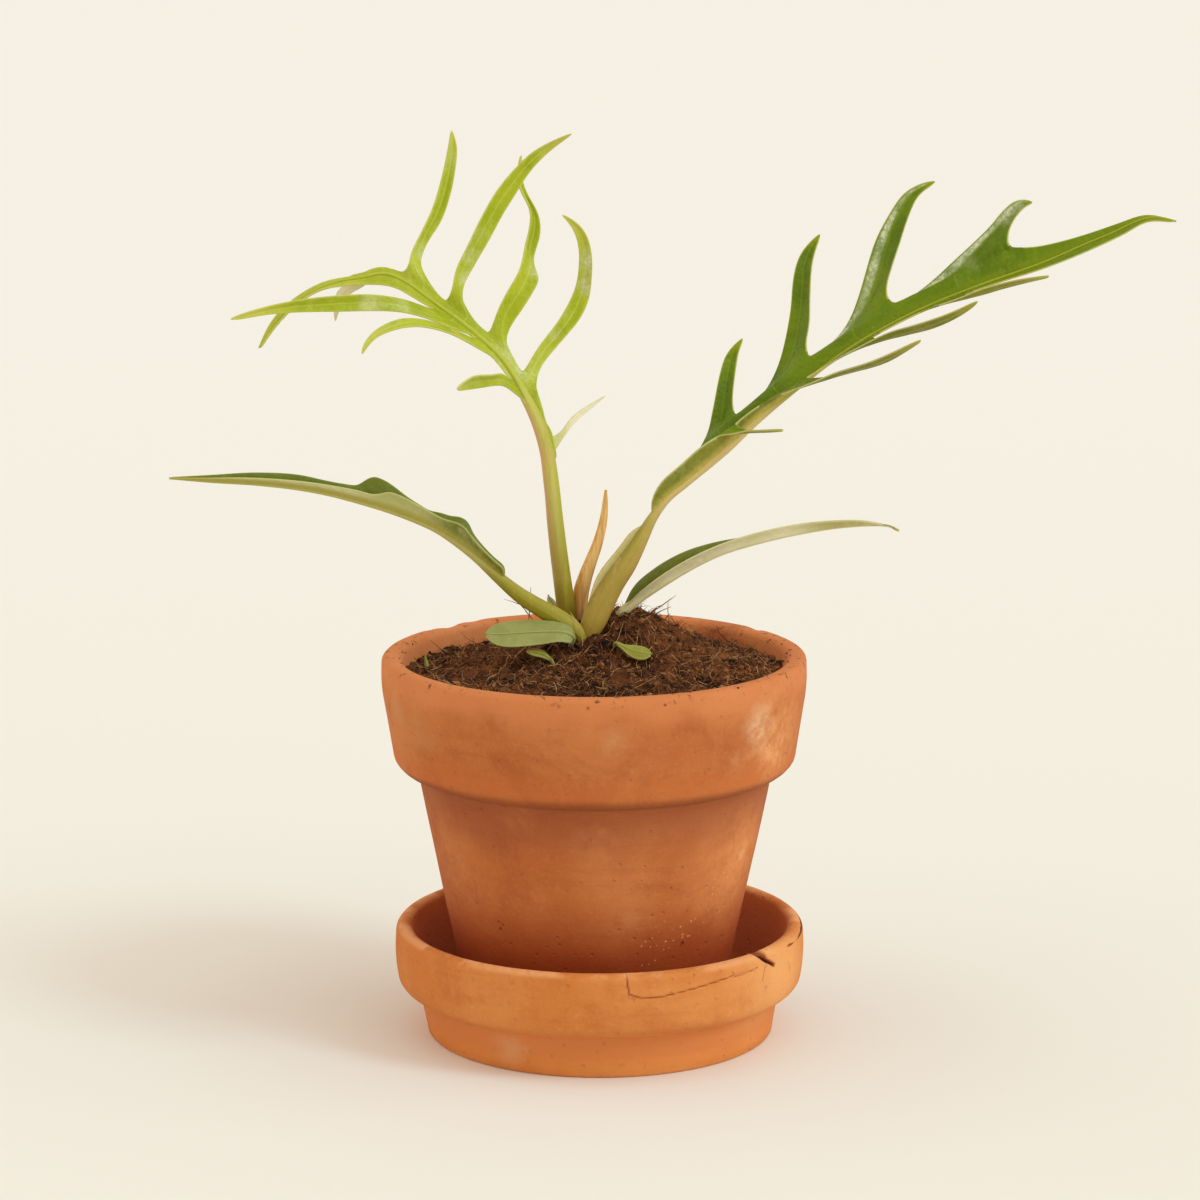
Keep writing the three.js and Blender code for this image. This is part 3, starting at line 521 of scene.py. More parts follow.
def soil_height(x, y):
    """The soil's surface above the floor, all in millimetres."""
    across = (x - HEAP["x"]) ** 2 / (2 * HEAP["wide"] ** 2)
    back = (y - HEAP["y"]) ** 2 / (2 * HEAP["deep"] ** 2)
    heap = HEAP["height"] * math.exp(-across - back)
    off_hollow = (x - HOLLOW["x"]) ** 2 + (y - HOLLOW["y"]) ** 2
    hollow = HOLLOW["depth"] * math.exp(-off_hollow / (2 * HOLLOW["reach"] ** 2))
    clods = CLOD * (math.sin(0.62 * x + 1.3) * math.cos(0.71 * y - 0.4) + math.sin(0.37 * (x + y)) / 2)
    return SOIL_LEVEL + heap - hollow - SOIL_SLOPE * y / SOIL_REACH + clods


def soil_crumble(x, y):
    """The small lumps and hollows on that surface, in millimetres."""
    lumps = noise.voronoi(Vector((x, y, 3)) * 0.36)[0][0]
    crumbs = noise.voronoi(Vector((x, y, 9)) * 0.95)[0][0]
    rough = noise.fractal(Vector((x, y, 0)) * 0.3, 0.7, 2.2, 5)
    return LUMP * (0.5 - lumps) + CRUMBLE * (0.4 - crumbs) + rough


bm = bmesh.new()
rim = bm.verts.new((SOIL_EDGE * MM, 0, SOIL_LEVEL * MM))
outline = [
    bm.verts.new((0, 0, SOIL_LEVEL * MM)), rim,
    bm.verts.new((SOIL_FLOOR_RADIUS * MM, 0, SOIL_FLOOR * MM)), bm.verts.new((0, 0, SOIL_FLOOR * MM)),
]
runs = [bm.edges.new(pair) for pair in zip(outline, outline[1:])]
bmesh.ops.subdivide_edges(bm, edges=[runs[0]], cuts=SOIL_RINGS)
bmesh.ops.subdivide_edges(bm, edges=[runs[1]], cuts=8)
bmesh.ops.spin(
    bm, geom=bm.verts[:] + bm.edges[:], axis=(0, 0, 1), cent=(0, 0, 0),
    angle=math.tau, steps=SOIL_TURNS, use_merge=True,
)
bmesh.ops.remove_doubles(bm, verts=bm.verts, dist=0.01 * MM)
bmesh.ops.translate(bm, verts=bm.verts, vec=(POT_CENTRE * MM, 0, 0))
bmesh.ops.recalc_face_normals(bm, faces=bm.faces)
for vert in bm.verts:
    x, y = vert.co.x / MM, vert.co.y / MM
    if vert.co.z < (SOIL_LEVEL - 0.5) * MM:
        continue
    calm = 1 - 0.7 * smooth_step(45, 49, math.hypot(x - POT_CENTRE, y))
    vert.co.z = (soil_height(x, y) + soil_crumble(x, y) * calm) * MM

soil_skin = Finish("soil_skin", (16, 6, 2), Roughness=0.95, Specular_IOR_Level=0.2)
clump = soil_skin.noise(70, 5, 0.65)
lump = soil_skin.noise(260, 6, 0.72)
fleck = soil_skin.noise(900, 3, 0.6)
thread = soil_skin.noise(420, 6, 0.75, soil_skin.stretched(0.35, 2.4, 1), distortion=1.2)
soil_skin.lay((96, 54, 28), soil_skin.ramp(lump, 0.42, 0.6))
soil_skin.lay((146, 84, 42), soil_skin.ramp(clump, 0.5, 0.62), 0.6)
soil_skin.lay((134, 80, 42), soil_skin.ramp(thread, 0.56, 0.66), 0.6)
soil_skin.lay((150, 96, 54), soil_skin.ramp(fleck, 0.62, 0.7), 0.5)
# Painted light and shade on the soil, as rows of place, reach, strength and tint: the two pale rows are
# painted light on the right and the left, and the dark rows are painted shade under the front of the rim,
# under the leaves and by the back wall.
SOIL_LIGHT_AND_SHADE = [
    ((26, -4, 100), 24, 0.25, (176, 104, 56)), ((-30, -8, 98), 14, 0.25, (160, 92, 50)),
    ((2, -38, 98), 26, 0.75, (20, 8, 3)), ((-1, -13, 104), 9, 0.8, (20, 8, 3)),
    ((30, 28, 98), 12, 0.5, (24, 10, 4)), ((-22, -20, 100), 7, 0.5, (24, 10, 4)),
]
soil_skin.spots(SOIL_LIGHT_AND_SHADE, 10, 90)
soil_skin.bump(soil_skin.noise(700, 5, 0.7), 0.5)
soil_piece = put(bm, "soil_bed", [soil_skin])
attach(soil_piece, "root")
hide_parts("soil")

# Mature leaf: a stout olive stalk with a papery sheath at its foot, which runs on as a cream midrib.
# Its blade is leathery, dark and glossy. It is cut into lobes, folded up along the midrib,
# so that the far lobes stand up with their upper face to the viewer and the near ones are seen edge on.
RIGHT = 1
LEFT = -1
NEAR = 1
FAR = -1
STRIP_ROWS = 3
BLADE_THICKNESS = 0.55
MARKS = ("rib", "rim", "way", "mid", "side")
FAR_FROM_RIM = 50
STRIP_RIM = 6
MIDRIB_POINTS = 240
EDGE_POINTS = 200
LOBE_POINTS = 60
RIBBON_POINTS = 30
LOBE_ROWS = 18
RIBBON_ROWS = 12
SOFTENING = 2


def smooth_line(points, count):
    """Evenly spaced points, in metres, on a smooth curve through points given in millimetres."""
    dots = [Vector(point) * MM for point in points]
    spans = [(end - start).length for start, end in zip(dots, dots[1:])]
    slopes = [(end - start) / span for start, end, span in zip(dots, dots[1:], spans)]
    turns = [slopes[0]]
    for before, after, back, ahead in zip(slopes, slopes[1:], spans, spans[1:]):
        turns.append(before.lerp(after, back / (back + ahead)))
    turns.append(slopes[-1])
    curve = []
    for i, span in enumerate(spans):
        first, last = dots[i] + turns[i] * span / 3, dots[i + 1] - turns[i + 1] * span / 3
        curve += geometry.interpolate_bezier(dots[i], first, last, dots[i + 1], 20)[:-1]
    curve.append(dots[-1])
    return even_line(curve, count)


def even_line(curve, count):
    """The same line, drawn again with count points at even distances."""
    lengths = [0]
    for start, end in zip(curve, curve[1:]):
        lengths.append(lengths[-1] + (end - start).length)
    line, i = [], 0
    for k in range(count):
        aim = lengths[-1] * k / (count - 1)
        while i < len(curve) - 2 and lengths[i + 1] < aim:
            i += 1
        span = lengths[i + 1] - lengths[i]
        line.append(curve[i].lerp(curve[i + 1], (aim - lengths[i]) / span if span else 0))
    return line


def line_at(line, share):
    """The point at a share of an even line's length."""
    aim = min(max(share, 0), 1) * (len(line) - 1)
    i = min(int(aim), len(line) - 2)
    return line[i].lerp(line[i + 1], aim - i)


class Midrib:
    """A leaf's stalk and midrib as one line, with its directions at any distance in millimetres."""

    def __init__(self, points, heading):
        self.line = smooth_line(points, MIDRIB_POINTS)
        self.heading = heading
        self.length = sum((b - a).length for a, b in zip(self.line, self.line[1:])) / MM

    def at(self, distance):
        share = distance / self.length
        place = line_at(self.line, share)
        ahead = (line_at(self.line, share + 0.006) - line_at(self.line, share - 0.006)).normalized()
        near = Vector((0, -1, 0))
        near = (near - ahead * near.dot(ahead)).normalized()
        return place, ahead, near, near.cross(ahead) * self.heading

    def beside(self, side, distance, width, lift):
        """The point of a blade's edge at a width from the midrib, lifted by degrees."""
        place, _, near, up = self.at(distance)
        tilt = math.radians(lift)
        return place + (near * side * math.cos(tilt) + up * math.sin(tilt)) * width * MM


def drape(bm, columns, rows, surface):
    """Lays a flat grid onto a surface, which gives a point and its marks for two shares from 0 to 1."""
    layers = [bm.verts.layers.float[name] for name in MARKS]
    grid = bmesh.ops.create_grid(bm, x_segments=columns, y_segments=rows, size=0.5)
    for vert in grid["verts"]:
        vert.co, marks = surface(vert.co.x + 0.5, vert.co.y + 0.5)
        for layer, mark in zip(layers, marks):
            vert[layer] = mark


def new_leaf():
    bm = bmesh.new()
    for name in MARKS:
        bm.verts.layers.float.new(name)
    return bm


def add_stalk(bm, rib, radii, sides=14, step=2.2, finish=0):
    """A round tube along the midrib, closed at both ends."""
    tube = new_leaf()
    rings = int(rib.length / step)

    def surface(across, along):
        distance = rib.length * along
        place, _, near, up = rib.at(distance)
        turn = math.tau * across
        out = near * math.cos(turn) + up * math.sin(turn)
        wave = 1 + 0.05 * noise.noise(Vector((0, turn, distance * 0.12)))
        radius = row_value(radii, distance) * wave
        return place + out * radius * MM, (0, FAR_FROM_RIM, distance, 0, out.x)

    drape(tube, sides, rings, surface)
    bmesh.ops.remove_doubles(tube, verts=tube.verts, dist=0.001 * MM)
    bmesh.ops.holes_fill(tube, edges=[edge for edge in tube.edges if edge.is_boundary], sides=sides)
    bmesh.ops.recalc_face_normals(tube, faces=tube.faces)
    for face in tube.faces:
        face.material_index = finish
    join(bm, tube)


def join(bm, other):
    """Adds a second bmesh to the first."""
    mesh = bpy.data.meshes.new("part")
    other.to_mesh(mesh)
    other.free()
    bm.from_mesh(mesh)
    bpy.data.meshes.remove(mesh)


def ribbon(rib, lobe, foot_start, foot_end):
    """The two edges of a narrow lobe, from the line along its middle and rows of share and width."""
    middle = smooth_line(lobe["path"], RIBBON_POINTS)
    _, forward, _, _ = rib.at((lobe["from"] + lobe["to"]) / 2)
    start_edge, end_edge = [foot_start / MM], [foot_end / MM]
    for k in range(4, RIBBON_POINTS - 1, 4):
        share = k / (RIBBON_POINTS - 1)
        along = (middle[k + 1] - middle[k - 1]).normalized()
        across = (forward - along * forward.dot(along)).normalized()
        across.rotate(Matrix.Rotation(math.radians(lobe.get("twist", 0) * min(1, 4 * share)), 3, along))
        half = row_value(lobe["widths"], share) / 2
        start_edge.append(middle[k] / MM - across * half)
        end_edge.append(middle[k] / MM + across * half)
    return start_edge, end_edge, lobe["path"][-1]


def lobe_surface(rib, lobe, side, edge, rows):
    """A lobe and the strip under it, from the midrib to the tip, with a channel down its middle."""
    foot_start, foot_end = edge(lobe["from"]), edge(lobe["to"])
    if "path" in lobe:
        start_edge, end_edge, tip = ribbon(rib, lobe, foot_start, foot_end)
    else:
        start_edge = [foot_start / MM] + lobe["near"]
        end_edge = [foot_end / MM] + lobe["far"]
        tip = lobe["tip"]
    start_line = smooth_line(list(start_edge) + [tip], LOBE_POINTS)
    end_line = smooth_line(list(end_edge) + [tip], LOBE_POINTS)
    strip_share = STRIP_ROWS / rows
    facing = -side * rib.heading
    reach = sum((b - a).length for a, b in zip(start_line, start_line[1:])) / MM

    def surface(across, along):
        distance = lobe["from"] + (lobe["to"] - lobe["from"]) * across
        root = rib.at(distance)[0]
        foot = foot_start.lerp(foot_end, across)
        width = (foot - root).length / MM
        off_middle = abs(across - 0.5)
        if along <= strip_share + 1e-6:
            share = min(along / strip_share, 1)
            wide = (foot_end - foot_start).length / MM
            marks = (off_middle * wide, STRIP_RIM, share * width, share * width, 0)
            return root.lerp(foot, share), marks
        share = (along - strip_share) / (1 - strip_share)
        start, end = line_at(start_line, share), line_at(end_line, share)
        ahead = line_at(start_line, share + 0.03).lerp(line_at(end_line, share + 0.03), 0.5)
        behind = line_at(start_line, share - 0.03).lerp(line_at(end_line, share - 0.03), 0.5)
        wide = (end - start).length / MM
        normal = (end - start).cross(ahead - behind)
        normal = normal.normalized() * facing if normal.length > 0 else Vector()
        sunk = lobe["channel"] * min(1, wide / 4) * smooth_step(0, 0.2, share) * (1 - 2 * off_middle)
        point = start.lerp(end, across) - normal * sunk * MM
        far_out = width + share * reach
        marks = (off_middle * wide, (0.5 - off_middle) * wide, far_out, far_out, 2 * across - 1)
        return point, marks

    return surface


def strip_surface(rib, first, last, edge, swell, facing):
    """The plain part of a blade between the midrib and its edge."""
    def surface(across, along):
        distance = first + (last - first) * across
        root, rim = rib.at(distance)[0], edge(distance)
        width = (rim - root).length / MM
        _, ahead, _, _ = rib.at(distance)
        out = (rim - root).cross(ahead).normalized() * facing
        point = root.lerp(rim, along) + out * swell * 4 * along * (1 - along) * width * MM
        return point, (along * width, (1 - along) * width, distance, along * width, 0)

    return surface


def add_side(bm, rib, side, rows, lobes=(), step=2.4, swell=0.0, columns=8, strip_rows=STRIP_ROWS,
             finishes=(1, 2)):
    """One half of a blade: a strip along the midrib whose edge rows of distance, width and lift give,
    with its lobes, made one closed sheet. finishes are the upper and the under face's materials."""
    sheet = new_leaf()
    edge_points = [rib.beside(side, *row) / MM for row in rows]
    line = smooth_line(edge_points, EDGE_POINTS)
    marks = [0]
    for start, end in zip(edge_points, edge_points[1:]):
        marks.append(marks[-1] + (end - start).length)

    def edge(distance):
        share = row_value([(row[0], mark) for row, mark in zip(rows, marks)], distance) / marks[-1]
        return line_at(line, share)

    reached = rows[0][0]
    facing = -side * rib.heading
    for lobe in list(lobes) + [None]:
        until = lobe["from"] if lobe else rows[-1][0]
        if until - reached > 0.3:
            parts = max(2, round((until - reached) / step))
            drape(sheet, parts, strip_rows, strip_surface(rib, reached, until, edge, swell, -facing))
        if lobe:
            rows_count = STRIP_ROWS + lobe.get("rows", RIBBON_ROWS if "path" in lobe else LOBE_ROWS)
            drape(sheet, columns, rows_count, lobe_surface(rib, lobe, side, edge, rows_count))
            reached = lobe["to"]
    bmesh.ops.remove_doubles(sheet, verts=sheet.verts, dist=0.02 * MM)
    if facing < 0:
        bmesh.ops.reverse_faces(sheet, faces=sheet.faces)
    upper = set(sheet.faces)
    bmesh.ops.solidify(sheet, geom=sheet.faces[:], thickness=BLADE_THICKNESS * MM)
    for face in sheet.faces:
        face.material_index = finishes[0] if face in upper else finishes[1]
    bmesh.ops.recalc_face_normals(sheet, faces=sheet.faces)
    join(bm, sheet)


MATURE_MIDRIB = [
    (-4.6, -4.6, 90.3), (-4.5, -4.6, 102), (-2.8, -4.4, 107.1), (-1.7, -4, 109.4), (-0.1, -3, 112.9),
    (1.5, -2.4, 115.9), (3.4, -2, 119.3), (6.7, -2, 124), (10.6, -2, 130.8), (13.8, -2, 136.8),
    (17.4, -2, 141.4), (21.8, -2, 145), (31.4, -1, 153), (41, 0, 162), (53, 1, 171.6), (63.8, 2, 179.5),
    (81.3, 3, 189.2), (96.8, 4, 195.5), (112.4, 5, 201), (129, 6, 208), (143, 7, 212.7),
    (147.2, 7, 211.6),
]
MATURE_STALK = [
    (0, 1), (12, 1.2), (15, 2), (17.5, 2.9), (20, 3.3), (24, 3.4), (29, 3.1), (36, 2.8), (45, 1.9),
    (51, 1.3), (58, 0.95), (65, 0.9), (78, 1.1), (95, 0.9), (108, 0.5), (150, 0.4), (207, 0.25),
]
MATURE_SHEATH = [(22, 3, 80), (30, 4.6, 80), (40, 4, 80), (46, 3, 80), (48.5, 1, 80)]
MATURE_FAR_EDGE = [
    (52, 0.8, 66), (53.5, 1.8, 64), (55.5, 3.1, 64), (58.5, 3.9, 64), (65, 4.7, 64), (72, 5.2, 64),
    (84.5, 5.3, 64), (108, 4.8, 64), (133, 4.7, 64), (166, 6.7, 64), (171.5, 4.9, 64), (178, 3.5, 64),
    (185.5, 2.4, 64), (193.5, 1.7, 64), (201, 1, 64), (207.6, 0.3, 60),
]
MATURE_NEAR_EDGE = [
    (51.5, 0.8, 70), (53, 2.4, 70), (55.5, 3.9, 70), (58.5, 5, 70), (65, 5.5, 70), (72, 5.8, 70),
    (76, 5.4, 70), (80.5, 4.6, 70), (84, 4.1, 68), (88, 3.6, 66), (94, 3.1, 60), (99, 2.5, 52),
    (104, 2, 36), (112, 1.8, 10), (125, 1.9, 0), (140, 1.8, -6), (158, 1.8, -18), (172, 2.4, -26),
    (186, 3, -26), (194, 2.5, -26), (200, 1.5, -20), (207.6, 0.3, -10),
]
MATURE_FAR_LOBES = [
    {
        "from": 72, "to": 84.5, "channel": 0.9, "rows": 14,
        "near": [(27.8, 5, 158), (29.3, 6.2, 164.4), (30.6, 7.7, 170.9), (32.7, 9.5, 177.2)],
        "far": [(34, 4.9, 165.3), (34.2, 6, 168.8), (34.8, 7.5, 173.3), (35.6, 9.3, 177.7)],
        "tip": (37, 11, 181.5),
    },
    {
        "from": 84.5, "to": 108, "channel": 0.9,
        "near": [
            (38.9, 5, 164.3), (42.2, 6.1, 167.8), (45.6, 7.7, 174), (47.9, 9.6, 182.1),
            (49.2, 11.3, 189.6), (49.7, 12.8, 195.9), (51.5, 14.2, 202.2),
        ],
        "far": [(52.9, 5.2, 180.3), (53.7, 7.3, 185.7), (53.9, 9.9, 192.4), (54.6, 13, 200.5)],
        "tip": (57, 16, 208),
    },
    {
        "from": 108, "to": 133, "channel": 0.9,
        "near": [
            (56.3, 5.8, 178), (60.1, 6.9, 181), (63.5, 8.2, 185.2), (66.3, 9.9, 191.7),
            (68.6, 11.8, 199.2), (70.9, 12.9, 206.3), (74.6, 13.9, 213), (78.2, 14.7, 218.1),
            (82, 15.3, 220.2),
        ],
        "far": [
            (73.8, 5.8, 192.1), (73.5, 6.9, 194.8), (74.9, 9.1, 200.2), (77.1, 11.6, 206.1),
            (79.4, 13.4, 212.6), (81.7, 14.5, 217.4),
        ],
        "tip": (86.9, 16, 221.3),
    },
    {
        "from": 133, "to": 166, "channel": 0.9,
        "near": [
            (78.8, 6.5, 192), (84.4, 7.4, 195.8), (90, 8.4, 200.8), (95.9, 9.4, 206.1),
            (100.3, 10.2, 210.3), (103.8, 10.9, 214.4), (106.9, 11.4, 216.6),
        ],
        "far": [(104.6, 6.7, 206.4), (104.6, 7.6, 208.6), (106, 9.2, 212), (108.6, 10.8, 214.9)],
        "tip": (111.3, 12, 216.2),
    },
]
MATURE_NEAR_LOBES = [
    {
        "from": 77, "to": 83, "path": [(34.6, -3.4, 159.4), (40, -8, 160), (46.7, -13, 161.1)],
        "widths": [(0, 2), (0.5, 2), (0.8, 2.2), (1, 0.4)], "channel": 0.2, "twist": -68,
    },
    {
        "from": 93, "to": 104,
        "path": [(51, -3, 171.2), (62.2, -11, 175.8), (69.7, -19, 179.2), (80.5, -28, 186.4)],
        "widths": [(0, 2.6), (0.4, 3), (0.65, 3.6), (1, 0.4)], "channel": 0.2, "twist": -52,
    },
    {
        "from": 112, "to": 124,
        "path": [
            (65, -2, 181.2), (74.8, -8, 185), (82.2, -15, 187.9), (89.8, -21, 192), (94.5, -26, 195.8),
        ],
        "widths": [(0, 2.6), (0.4, 3.4), (0.6, 3.8), (1, 0.4)], "channel": 0.2, "twist": -60,
    },
    {
        "from": 140, "to": 150, "path": [(90, -0.6, 192.6), (104.3, -8, 197.8), (113, -17, 200.7)],
        "widths": [(0, 2.2), (0.6, 2.2), (1, 0.4)], "channel": 0.2, "twist": -50,
    },
]


def stalk_skin(name, left, main, right, tips, gloss=0.42, foot=None):
    """A fleshy stalk with fine lengthwise lines, and another colour on its left and its right side.
    foot is its colour near the soil, and tips are rows of two distances and the colour beyond them."""
    skin = Finish(name, main, Roughness=gloss, Specular_IOR_Level=0.28)
    way, side = skin.mark("way"), skin.mark("side")
    lines = skin.noise(420, 4, 0.6, skin.stretched(1, 1, 0.12))
    mottle = skin.noise(120, 4, 0.6)
    grit = skin.noise(900, 3, 0.7)
    skin.lay(left, skin.ramp(side, -0.1, -0.9))
    skin.lay(right, skin.ramp(side, 0.2, 0.95))
    if foot:
        skin.lay(foot, skin.ramp(way, 52, 18), 0.85)
    skin.lay(right, skin.ramp(lines, 0.52, 0.66), 0.6)
    skin.lay(left, skin.ramp(mottle, 0.48, 0.7), 0.4)
    for low, high, shade in tips:
        skin.lay(shade, skin.ramp(way, low, high))
    skin.lay(right, skin.ramp(grit, 0.5, 0.75), 0.25)
    skin.bump(skin.noise(500, 4, 0.6, skin.stretched(1, 1, 0.1)), 0.25)
    return skin


# Tints of the painted highlight on leaves: a thin sheen and a strong one.
SHEEN_TINT = (216, 220, 182)
STRONG_SHEEN_TINT = (222, 222, 186)


def leaf_skin(name, main, deep, light, vein, edge, gloss, blister, vein_width=0.3, streaks=0.3,
              root=None, tip=None, stages=(), lines=0.0, highlight_band=None, highlight_spots=()):
    """A living leaf's face: mottled colour, a pale midvein, faint side veins and a lighter margin.
    root is its colour beside the midrib, and lines are pale streaks there. tip is the colour of its
    narrow ends. stages are rows of two distances and the colour beyond them. The last two arguments
    paint highlight: the first a pale streaky sheen on the half of a lobe nearer to the leaf's foot, as its
    strength and the two places along X between which it sets in; the second places, reaches and strengths
    of painted highlight spots."""
    skin = Finish(name, main, Specular_IOR_Level=0.22)
    rib, rim, way, mid, side = (skin.mark(mark) for mark in MARKS)
    cloud = skin.noise(70, 5, 0.6)
    fine = skin.noise(600, 4, 0.65)
    slant = skin.math("SUBTRACT", way, skin.math("MULTIPLY", rib, 1.3))
    slant = skin.math("ADD", slant, skin.math("MULTIPLY", skin.noise(120, 3), 2.2))
    ridges = skin.math("ABSOLUTE", skin.math("SINE", skin.math("MULTIPLY", slant, 0.8)))
    side_vein = skin.times(skin.ramp(ridges, 0.2, 0.02), skin.ramp(rib, 0.2, 1.2))
    streak = skin.noise(160, 4, 0.65, skin.stretched(1, 1, 0.3))
    skin.lay(deep, skin.ramp(cloud, 0.35, 0.65))
    for low, high, shade in stages:
        skin.lay(shade, skin.ramp(way, low, high))
    skin.lay(light, skin.ramp(streak, 0.5, 0.75), streaks)
    skin.lay(light, skin.ramp(fine, 0.5, 0.75), 0.2)
    skin.lay(light, side_vein, 0.06)
    skin.lay(light, skin.ramp(rim, 1, 0), 0.25)
    skin.lay(edge, skin.ramp(rim, 0.3, 0.05), 0.5)
    skin.lay(vein, skin.ramp(rib, vein_width, vein_width * 0.3), 0.35)
    if root:
        skin.lay(root, skin.ramp(mid, 3, 0.8))
    if lines:
        drift = skin.math("MULTIPLY", skin.noise(150, 2), 5)
        drawn = skin.math("ADD", skin.math("MULTIPLY", mid, 4.6), drift)
        drawn = skin.ramp(skin.math("ABSOLUTE", skin.math("SINE", drawn)), 0.3, 0.04)
        skin.lay(vein, drawn, skin.ramp(mid, 4.5, 1), lines)
    if tip:
        skin.lay(tip, skin.ramp(skin.math("ADD", rib, rim), 2, 0.6), 0.7)
    # Painted highlight: a pale, grainy, streaky sheen laid over the leaf's colour.
    if highlight_band or highlight_spots:
        sheen_grain = skin.ramp(skin.noise(1100, 3, 0.7), 0.4, 0.6, 0.45, 1)
        sheen_grain = skin.times(sheen_grain, skin.ramp(streak, 0.36, 0.56, 0.35, 1))
    if highlight_band:
        strength, start, whole = highlight_band
        lower_half = skin.times(skin.ramp(side, -0.04, -0.4), skin.ramp(side, -0.98, -0.7))
        onward = skin.ramp(skin.along("X"), start * MM, whole * MM)
        uneven = skin.ramp(cloud, 0.3, 0.5, 0.4, 1)
        skin.lay(SHEEN_TINT, lower_half, skin.ramp(rim, 0.1, 0.6), onward, sheen_grain, strength, uneven)
    for place, reach, strength in highlight_spots:
        sheen_spot = skin.near(place, reach, ragged=2.5, scale=350)
        skin.lay(STRONG_SHEEN_TINT, sheen_spot, sheen_grain, skin.ramp(rim, 0, 0.5), strength)
    skin.set(skin.shader, {"Roughness": skin.ramp(fine, 0.3, 0.7, gloss, gloss + 0.14)})
    skin.bump(side_vein, 0.05)
    skin.bump(skin.ramp(skin.cells(620), 0, 0.6), blister)
    skin.bump(skin.noise(260, 3), 0.25)
    return skin


mature_stalk_skin = stalk_skin(
    "mature_stalk_skin", left=(142, 140, 30), main=(190, 170, 84), right=(202, 160, 96),
    tips=[(44, 60, (208, 186, 118)), (84, 104, (152, 162, 40))], foot=(158, 132, 44),
)
# Painted highlight spots on the mature leaf's lobes: place, reach and strength.
MATURE_HIGHLIGHT_SPOTS = [
    ((92, 8, 195.5), 3.6, 0.5), ((95.5, 9, 199.5), 3.8, 0.5), ((105, 11, 212.5), 3.8, 0.6),
    ((107.8, 12, 215), 3, 0.5), ((39.4, 6, 163), 3, 0.3), ((24, 3, 151), 3, 0.3),
]
# Its upper face carries painted highlight: a streaky sheen on the far lobes beyond X 54 mm, and the spots
# above.
mature_upper = leaf_skin(
    "mature_leaf_upper_skin", main=(106, 130, 0), deep=(86, 112, 0), light=(138, 158, 14),
    vein=(140, 158, 10), edge=(168, 176, 56), gloss=0.22, blister=0.16, root=(112, 132, 0),
    tip=(150, 160, 20), highlight_band=(0.85, 54, 62), highlight_spots=MATURE_HIGHLIGHT_SPOTS,
)
mature_under = leaf_skin(
    "mature_leaf_under_skin", main=(134, 136, 44), deep=(112, 120, 28), light=(176, 176, 104),
    vein=(186, 180, 90), edge=(222, 214, 150), gloss=0.45, blister=0.12, root=(186, 172, 80),
    streaks=0.45, tip=(166, 164, 50),
)
mature_sheath_skin = leaf_skin(
    "mature_sheath_skin", main=(222, 212, 160), deep=(204, 196, 124), light=(236, 228, 196),
    vein=(196, 184, 104), edge=(196, 150, 90), gloss=0.5, blister=0.08, streaks=0.7,
)
mature = Midrib(MATURE_MIDRIB, RIGHT)
bm = new_leaf()
add_stalk(bm, mature, MATURE_STALK, sides=18)
add_side(bm, mature, FAR, MATURE_SHEATH, finishes=(3, 3))
add_side(bm, mature, FAR, MATURE_FAR_EDGE, MATURE_FAR_LOBES)
add_side(bm, mature, NEAR, MATURE_NEAR_EDGE, MATURE_NEAR_LOBES, columns=6)


def put_leaf(bm, name, finishes, node):
    """Rounds a leaf off with a subdivision surface and sets it in place of its CAD node."""
    piece = put(bm, name, finishes)
    soften = piece.modifiers.new("soften", "SUBSURF")
    soften.levels = SOFTENING
    soften.render_levels = SOFTENING
    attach(piece, "root")
    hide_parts(node)


put_leaf(
    bm, "mature_leaf", [mature_stalk_skin, mature_upper, mature_under, mature_sheath_skin],
    "leaf_mature",
)

# Young leaf: a pale soft stalk that arches over to the left, and a thin yellow-green blade, just unrolled.
# Its lobes are narrow, waved and curled: four on the far side and three that reach forward,
# with a pale spur low on the stalk and a thin pale lobe that hangs behind.
YOUNG_MIDRIB = [
    (-7.6, 5.5, 95), (-8.2, 4.5, 104), (-9.1, 3, 113.9), (-10.1, 2, 122), (-11.6, 1, 135.2),
    (-12.6, 0, 145.8), (-13.7, 0, 153.6), (-15.6, 0, 160.1), (-18.8, 0, 166.8), (-24.8, 1, 176.7),
    (-33.5, 2, 184.7), (-43.7, 4, 192.2), (-49.4, 5, 196.3), (-54.4, 5, 198.6), (-61.5, 4, 197.6),
    (-67.6, 3, 196.7), (-73.7, 1, 194.2), (-79.1, 0, 190.5), (-83.1, -1, 186.2), (-86.9, -2, 180.3),
]
YOUNG_STALK = [
    (0, 2.6), (18, 2.5), (35, 2.3), (52, 2.05), (66, 1.8), (76, 1.35), (86, 0.85), (110, 0.6),
    (130, 0.45), (162.5, 0.25),
]
YOUNG_FAR_EDGE = [
    (54.5, 0.5, 65), (55.3, 2.3, 65), (60, 2.6, 65), (65.6, 2.5, 65), (66.8, 1.3, 65), (68, 2.6, 65),
    (71.5, 3.3, 65), (75.5, 4.1, 65), (80, 2.5, 65), (92.5, 2.6, 65), (106, 2, 65), (119, 1.6, 65),
    (122, 1.7, 65), (125, 2, 65), (128, 1.2, 65), (140, 1.2, 65), (156, 1.2, 65), (162.5, 0.3, 65),
]
YOUNG_NEAR_EDGE = [
    (66, 0.8, -20), (74, 1.6, -20), (96, 1.8, -20), (107, 2.4, -30), (112, 2.9, -40), (119, 3.2, -50),
    (126, 3, -60), (132, 2, -50), (140, 1.4, -20), (156, 1.4, -20), (162.5, 0.3, -20),
]
YOUNG_SPUR_EDGE = [(57.8, 2, 60), (62.2, 2.2, 60)]
